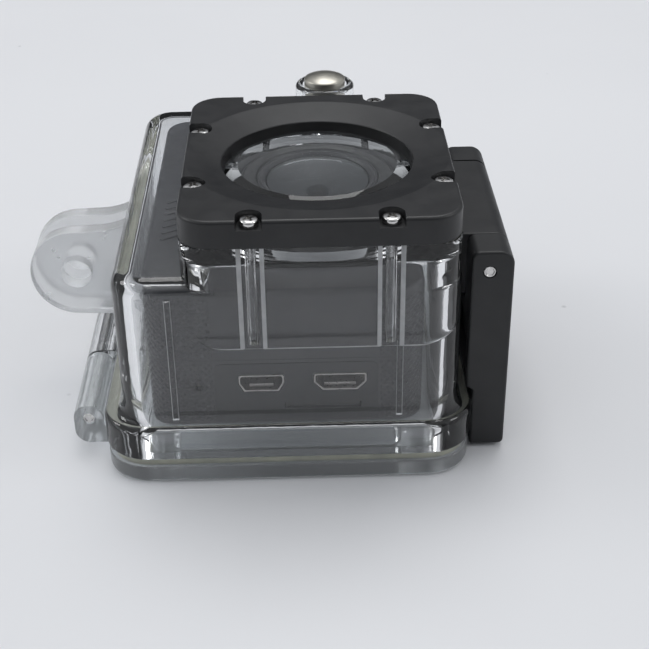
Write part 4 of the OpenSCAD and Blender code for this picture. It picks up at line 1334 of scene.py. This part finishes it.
@dataclass
class InnerCamera:
    """The camera inside the housing: knurled case, socket panel, lens and the parts behind them."""

    corner_r: float = 4.0
    wall: float = 1.2
    knurl: float = 1.1
    knurl_h: float = 0.2
    pitch: float = 0.2
    panel: tuple[float, float, float, float] = (-16.0, 9.0, 8.2, 19.4)
    sockets: list[Socket] = field(default_factory=lambda: [
        Socket("usb_port", 2.6, 7.8, 2.85, 1.3), Socket("hdmi_port", -9.1, 6.7, 2.8, 0.75)])

    def side_rings(self, z0: float, z1: float, bottom: float, top: float) -> Skin:
        """A case half: outline points spaced evenly, pushed out by crossed ridges that fade at its edges
        and panel.

        The push is knurl_h times the lower of two triangle waves along the diagonals of arc length and
        height.

        Args:
            z0: height of the half's lower edge.
            z1: height of its upper edge.
            bottom: radius of the lower edge.
            top: radius of the upper edge.

        Returns:
            The closed surface.
        """
        low, high = node_box("camera_front_shell", "camera_rear_shell")
        coarse = rect_outline(low[0], low[1], high[0], high[1], self.corner_r, 16)
        loop = np.vstack([coarse, coarse[:1]])
        run = np.concatenate([[0], np.cumsum(np.linalg.norm(np.diff(loop, axis=0), axis=1))])
        count = int(run[-1] / self.pitch)
        at = np.linspace(0, run[-1], count, endpoint=False)
        outline = np.stack([np.interp(at, run, loop[:, k]) for k in (0, 1)], -1)
        ways = outward(outline)
        inset, height = edge_profile(z0, z1, bottom, top, 4)
        middle = np.linspace(z0 + bottom, z1 - top, int((z1 - z0) / self.pitch))[1:-1]
        half = len(inset) // 2
        inset = np.concatenate([inset[:half], np.zeros(len(middle)), inset[half:]])
        height = np.concatenate([height[:half], middle, height[half:]])
        turns = run[-1] / round(run[-1] / self.knurl)
        u, v = at[None, :] / turns, height[:, None] / self.knurl
        waves = [np.abs((u + s * v) % 1.0 - 0.5) * 2 for s in (-1, 1)]
        push = self.knurl_h * np.clip(1.25 * np.minimum(*waves), 0, 1)
        fade = np.clip((height - z0 - bottom) / 0.5, 0, 1) * np.clip((z1 - top - height) / 0.5, 0, 1)
        x0, p0, x1, p1 = self.panel
        x, y = outline.T
        by_panel = (y < low[1] + 0.01) & (x > x0 - 0.3) & (x < x1 + 0.3)
        smooth_side = (np.clip((x - high[0] + 0.4) / 0.3, 0, 1) + by_panel)[None,
                                                                            :] * np.ones_like(height[:, None])
        push = push * fade[:, None] * np.clip(1 - smooth_side, 0, 1)
        flat = outline + (push - inset[:, None])[..., None] * ways
        rings = np.concatenate([flat, np.broadcast_to(height[:, None, None], flat.shape[:2] + (1,))], -1)
        return loft(rings)

    def front_shell(self, keys: list[PushButton]) -> bpy.types.Object:
        """The front half, hollow, with the lens's hole and the key holes.

        Args:
            keys: the buttons whose keys need holes.

        Returns:
            The object, still in millimetres.
        """
        low, high = node_box("camera_front_shell")
        obj = mesh_object("knurled_front_case", self.side_rings(low[2], high[2], 0.05, 0.9))
        w = self.wall
        change(obj, Cut.TAKE, block((low[0] + w, low[1] + w, low[2] - 2),
                                    (high[0] - w, high[1] - w, high[2] - w), 2.8, 0.3, 0),
               cylinder(11.65, high[2] - 4, high[2] + 3, 96),
               cylinder(0.8, high[2] - 4, high[2] + 3, 24).moved(8, 32))
        return self.key_holes(obj, keys)

    def key_holes(self, obj: bpy.types.Object, keys: list[PushButton]) -> bpy.types.Object:
        """Takes the keys' holes out of a case half."""
        for key in keys:
            r = (node_box(f"{key.name}_key")[1] - node_box(f"{key.name}_key")[0]).max() / 2 - 0.4
            change(obj, Cut.TAKE, key.put(cylinder(r, -key.key_gap - 2.2, -key.key_gap + 1.0, 40)))
        return obj

    def bars(self) -> Skin:
        """Slanted raised bars on the front face beside the lens, as a plain decoration."""
        z = node_box("camera_front_shell")[1][2]
        bars = []
        for i in range(7):
            bar = block((-1.5, -0.38, z - 0.1), (1.5, 0.38, z + 0.18), 0.3, 0.1, 0.02, 4)
            c, s = math.cos(0.5), math.sin(0.5)
            bar.points[:, :2] = bar.points[:, :2] @ np.array([[c, s], [-s, c]])
            bars.append(bar.moved(-22.6, -6.0 + 2.1 * i))
        return bars[0].with_(*bars[1:])

    def rear_shell(self, keys: list[PushButton]) -> bpy.types.Object:
        """The rear half, hollow, with openings for the screen, battery door, sockets and screws.

        Args:
            keys: the buttons whose keys need holes.

        Returns:
            The object, still in millimetres.
        """
        low, high = node_box("camera_rear_shell")
        obj = mesh_object("knurled_rear_case", self.side_rings(low[2], high[2], 0.9, 0.05))
        w = self.wall
        change(obj, Cut.TAKE, block((low[0] + w, low[1] + w, low[2] + w),
                                    (high[0] - w, high[1] - w, high[2] + 2), 2.8, 0, 0.3))
        screen_low, screen_high = node_box("screen_glass")
        change(obj, Cut.TAKE, box((*(screen_low[:2] - 0.1), low[2] - 1),
                                  (*(screen_high[:2] + 0.1), low[2] + 3)))
        door_low, door_high = node_box("battery_door")
        change(obj, Cut.TAKE, box((low[0] - 1, door_low[1] - 0.1, door_low[2] - 0.1),
                                  (low[0] + 3, door_high[1] + 0.1, door_high[2] + 0.1)))
        y = low[1]
        for s in self.sockets:
            change(obj, Cut.TAKE, box((s.x - 4.1, y - 1, s.z - 1.6), (s.x + 4.1, y + 3, s.z + 1.6)))
        card_low, card_high = node_box("memory_card")
        change(obj, Cut.TAKE, box((card_low[0] - 0.3, y - 1, card_low[2] - 0.2),
                                  (card_high[0] + 0.3, y + 3, card_high[2] + 0.2)))
        mic_low, mic_high = node_box("microphone")
        mic = (mic_low + mic_high) / 2
        change(obj, Cut.TAKE, cylinder(0.55, y - 1, y + 3, 20).aimed("y").moved(mic[0], 0, mic[2]))
        for x in (low[0] + 2.4, high[0] - 2.4):
            for yy in (low[1] + 2.4, high[1] - 2.4):
                change(obj, Cut.TAKE, cylinder(0.85, low[2] - 1, low[2] + 3, 24).moved(x, yy))
        return self.key_holes(obj, [k for k in keys if k.axis != "z"])

    def port_panel(self) -> bpy.types.Object:
        """The smooth panel with shaped openings for the sockets and a slot for the card."""
        x0, z0, x1, z1 = self.panel
        face = node_box("camera_rear_shell")[0][1]
        outline = rect_outline(x0, z0, x1, z1, 1.0, 6)
        obj = mesh_object("smooth_port_panel", extrusion(outline, face - 0.15, face, 0.06))
        for s in self.sockets:
            grown = s.outline(0.12)
            change(obj, Cut.TAKE, extrusion(grown, face - 1, face + 1, 0))
        low, high = node_box("memory_card")
        change(obj, Cut.TAKE, box((low[0] - 0.25, face - 1, low[2] - 0.18),
                                  (high[0] + 0.25, face + 1, high[2] + 0.18)))
        return obj

    def mic_ring(self) -> Skin:
        """A small oval rim round the microphone's hole."""
        low, high = node_box("microphone")
        x, z = (low[0] + high[0]) / 2, (low[2] + high[2]) / 2
        face = node_box("camera_rear_shell")[0][1]
        a = np.linspace(0, 2 * math.pi, 40, endpoint=False)
        oval = lambda g: np.stack([x + (0.75 + g) * np.cos(a), z + (1.25 + g) * np.sin(a)], -1)
        return tube_wall(oval(0.16), oval(0.0), face - 0.16, face + 0.1)

    def lens(self) -> None:
        """The lens: barrel, grooved bezel, cover glass, stepped funnel and the two lens elements."""
        low, high = node_box("lens_barrel")
        r, top = high[0], high[2]
        ridges = [(r - 0.12 * (i % 2), low[2] + 5.6 + 0.35 * i) for i in range(14)]
        barrel = lathe([(9.1, low[2]), (r, low[2]), (r, low[2] + 5.3), *ridges,
                        *arc(r - 0.8, top - 0.8, 0.8, 0, 90, 5),
                        (9.3, top), (9.1, top - 0.2)], 144, closed=True)
        add_piece(mesh_object("black_lens_barrel", barrel), LENS_BLACK, "housing", "lens_barrel", smooth=40)
        low, high = node_box("lens_bezel")
        top = high[2]
        steps = [(8.95, low[2]), (9.0, top - 0.1), (8.9, top), (8.75, top), (8.7, top - 0.1),
                 (8.6, top - 0.1), (8.55, top),
                 (8.2, top), (7.9, top - 0.25), (7.8, top - 0.4), (7.8, low[2])]
        add_piece(mesh_object("grooved_bezel", lathe(steps, 144, closed=True)), LENS_GREY, "housing",
                  "lens_bezel")
        low, high = node_box("lens_cover_glass")
        r, top = high[0], high[2]
        cover = lathe([(0.02, low[2]), (r - 0.05, low[2]), (r, low[2] + 0.05), (r, top - 0.15),
                       (r - 0.15, top), (0.02, top)], 144)
        add_piece(mesh_object("coated_cover_glass", cover), LENS_COATED, "housing", "lens_cover_glass",
                  smooth=20)
        low, high = node_box("lens_baffle")
        z, t = high[2], 1.0
        funnel = [(3.4, low[2]), (8.9, low[2]), (8.9, z - 0.1), (7.7, z)]
        for i in range(1, 10):
            s = i / 9
            funnel += [(7.7 - 6.0 * s + 0.3, z - t * 0.95 * s + 0.05), (7.7 - 6.0 * s, z - t * s - 0.04)]
        funnel += [(1.7, z - 3.6), (3.4, z - 3.7)]
        add_piece(mesh_object("stepped_funnel", lathe(funnel, 128, closed=True)), LENS_BLACK, "housing",
                  "lens_baffle")
        low, high = node_box("front_lens")
        r, z0, z1 = high[0], low[2], high[2]
        ball = (r * r + (z1 - z0 - 0.9) ** 2) / (2 * (z1 - z0 - 0.9))
        edge = math.degrees(math.asin(r / ball))
        dome = lathe([(0.02, z0), (r, z0), (r, z0 + 0.9), *arc(0, z1 - ball, ball, 90 - edge, 89.5, 10)], 64)
        add_piece(mesh_object("front_element", dome), LENS_TINTED, "housing", "front_lens")
        dress_node("rear_lens", LENS_COATED)

    def build(self, keys: list[PushButton]) -> None:
        """Makes the case, the panel, the sockets and the lens, and dresses what stays as modelled.

        Args:
            keys: the buttons whose keys the case holds.
        """
        add_piece(self.front_shell(keys), CAMERA_KNURL, "housing", "camera_front_shell", smooth=24)
        add_piece(self.rear_shell(keys), CAMERA_KNURL, "housing", "camera_rear_shell", smooth=24)
        add_piece(mesh_object("raised_bars", self.bars()), CAMERA_KNURL, "housing")
        add_piece(self.port_panel(), CAMERA_PANEL, "housing", "port_panel")
        add_piece(mesh_object("microphone_rim", self.mic_ring()), CAMERA_PANEL, "housing")
        face = node_box("camera_rear_shell")[0][1]
        for s in self.sockets:
            s.build(face - 0.17)
        self.lens()
        plain = {"image_sensor": BOARD, "main_board": BOARD, "battery": BATTERY_WRAP,
                 "battery_door": CAMERA_PANEL,
                 "lcd_panel": DISPLAY, "screen_glass": SCREEN_BLACK, "card_reader": SOCKET_STEEL,
                 "memory_card": CARD_BLACK,
                 "speaker": LENS_BLACK, "microphone": SOCKET_STEEL, "status_led": LED_BLUE,
                 "camera_screws": SCREW_STEEL}
        for node, finish in plain.items():
            dress_node(node, finish)


# ---------- studio ----------


@dataclass
class Studio:
    """A pale floor, soft lamps, a plain sky and the camera."""

    lens: float = 73.65
    place: tuple[float, float, float] = (-2.60, -184.90, 124.84)
    pitch: float = 31.06
    yaw: float = 1.04
    roll: float = -0.82
    floor_half: float = 1.6

    def floor(self) -> None:
        """A wide sheet with slow waves of a few hundredths of a millimetre, and faint specks in its finish."""
        n = 41
        x, y = np.meshgrid(np.linspace(-1, 1, n) * self.floor_half / MM,
                           np.linspace(-1, 1, n) * self.floor_half / MM)
        z = -0.06 - 0.02 * (1 + np.sin(x / 130) * np.cos(y / 170))
        i, j = np.meshgrid(np.arange(n - 1), np.arange(n - 1), indexing="ij")
        first = (i * n + j).ravel()
        sheet = Skin(np.stack([x, y, z], -1).reshape(-1, 3),
                     [np.stack([first, first + 1, first + n + 1, first + n], -1)])
        obj = mesh_object("floor", sheet)
        obj.data.transform(Matrix.Scale(MM, 4))
        obj.data.materials.append(self.floor_material())

    def floor_material(self) -> bpy.types.Material:
        """Matt off-white board with soft patches and a few small dark specks."""
        made = bpy.data.materials.new("floor_board")
        made.use_nodes = True
        tree = made.node_tree
        shader = tree.nodes["Principled BSDF"]
        shader.inputs["Specular IOR Level"].default_value = 0.3
        shader.inputs["Roughness"].default_value = 0.55
        where = tree.nodes.new("ShaderNodeTexCoord").outputs["Object"]
        patches = tree.nodes.new("ShaderNodeTexNoise")
        patches.inputs["Scale"].default_value = 9.0
        patches.inputs["Detail"].default_value = 4.0
        specks = tree.nodes.new("ShaderNodeTexVoronoi")
        specks.inputs["Scale"].default_value = 42.0
        dots = tree.nodes.new("ShaderNodeMapRange")
        dots.inputs["From Min"].default_value, dots.inputs["From Max"].default_value = 0.012, 0.028
        dots.inputs["To Min"].default_value, dots.inputs["To Max"].default_value = 0.72, 1.0
        tint = tree.nodes.new("ShaderNodeValToRGB")
        tint.color_ramp.elements[0].color = (0.70, 0.705, 0.725, 1)
        tint.color_ramp.elements[1].color = (0.76, 0.765, 0.78, 1)
        mix = tree.nodes.new("ShaderNodeMix")
        mix.data_type, mix.blend_type = "RGBA", "MULTIPLY"
        mix.inputs["Factor"].default_value = 1.0
        for node in (patches, specks):
            tree.links.new(where, node.inputs["Vector"])
        tree.links.new(patches.outputs["Fac"], tint.inputs["Fac"])
        tree.links.new(specks.outputs["Distance"], dots.inputs["Value"])
        tree.links.new(tint.outputs["Color"], mix.inputs["A"])
        tree.links.new(dots.outputs["Result"], mix.inputs["B"])
        tree.links.new(mix.outputs["Result"], shader.inputs["Base Color"])
        return made

    def lamp(self, name: str, place: Sequence[float], target: Sequence[float], size: float,
             watts: float) -> None:
        """A square soft lamp that faces a point.

        Args:
            name: the lamp's name.
            place: where it stands, in metres.
            target: the point that it faces.
            size: side of its square.
            watts: its power.
        """
        light = bpy.data.lights.new(name, "AREA")
        light.shape, light.size, light.energy = "SQUARE", size, watts
        obj = bpy.data.objects.new(name, light)
        bpy.context.scene.collection.objects.link(obj)
        way = Vector(target) - Vector(place)
        obj.matrix_world = Matrix.Translation(place) @ way.to_track_quat("-Z", "Y").to_matrix().to_4x4()

    def sky(self) -> None:
        """A soft sky: bright overhead and to both sides, dim ahead and behind.

        Its brightness is a ramp over height plus three quarters of the squared sideways part.
        """
        world = bpy.data.worlds.new("soft_sky")
        world.use_nodes = True
        tree = world.node_tree
        back = tree.nodes["Background"]
        where = tree.nodes.new("ShaderNodeTexCoord").outputs["Generated"]
        split = tree.nodes.new("ShaderNodeSeparateXYZ")
        ramp = tree.nodes.new("ShaderNodeValToRGB")
        ramp.color_ramp.elements[0].position, ramp.color_ramp.elements[1].position = 0.35, 0.85
        ramp.color_ramp.elements[0].color = (0.10, 0.105, 0.115, 1)
        ramp.color_ramp.elements[1].color = (0.80, 0.82, 0.85, 1)
        sides = tree.nodes.new("ShaderNodeMath")
        sides.operation = "POWER"
        sides.inputs[1].default_value = 2.0
        total = tree.nodes.new("ShaderNodeMath")
        total.operation = "MULTIPLY_ADD"
        total.inputs[1].default_value = 0.75
        tree.links.new(where, split.inputs["Vector"])
        tree.links.new(split.outputs["X"], sides.inputs[0])
        tree.links.new(sides.outputs["Value"], total.inputs[0])
        tree.links.new(split.outputs["Z"], total.inputs[2])
        tree.links.new(total.outputs["Value"], ramp.inputs["Fac"])
        tree.links.new(ramp.outputs["Color"], back.inputs["Color"])
        back.inputs["Strength"].default_value = 0.80
        bpy.context.scene.world = world

    def camera(self) -> None:
        """The camera, from its pitch, yaw and roll: forward, right and up are worked out in that order."""
        p, y, r = (math.radians(v) for v in (self.pitch, self.yaw, self.roll))
        ahead = Vector((math.sin(y) * math.cos(p), math.cos(y) * math.cos(p), -math.sin(p)))
        right = Vector((math.cos(y), -math.sin(y), 0))
        up = right.cross(ahead)
        right, up = math.cos(r) * right + math.sin(r) * up, math.cos(r) * up - math.sin(r) * right
        data = bpy.data.cameras.new("view")
        data.lens, data.sensor_width, data.clip_start = self.lens, 36.0, 0.005
        obj = bpy.data.objects.new("view", data)
        bpy.context.scene.collection.objects.link(obj)
        turn = Matrix((right, up, -ahead)).transposed().to_4x4()
        obj.matrix_world = Matrix.Translation(Vector(self.place) * MM) @ turn
        bpy.context.scene.camera = obj

    def build(self) -> None:
        """Sets the whole studio."""
        self.floor()
        self.sky()
        self.lamp("overhead", (0.05, 0.28, 0.80), (0, 0.02, 0.0), 0.50, 2.75)
        self.lamp("left_window", (-0.60, 0.10, 0.45), (0, 0, 0.02), 0.22, 0.7)
        self.lamp("right_fill", (0.55, -0.10, 0.45), (0, 0, 0.02), 0.18, 0.4)
        self.camera()
        bpy.context.scene.view_settings.view_transform = "Standard"


def main() -> None:
    """Builds the studio and every sub-assembly, in order."""
    logging.basicConfig(level=logging.INFO, format="%(message)s")
    buttons = [PushButton("front", "z", KEY_GREY, collar_h=5.0), PushButton("top", "x", KEY_GREY),
               PushButton("up", "y", KEY_BLACK), PushButton("down", "y", KEY_BLACK)]
    Studio().build()
    housing = Housing(buttons)
    housing.build()
    LensWindow(housing.screw_places()).build()
    BackDoor().build()
    Latch().build()
    InnerCamera().build(buttons)
    for button in buttons:
        button.build()


if __name__ == "__main__":
    main()
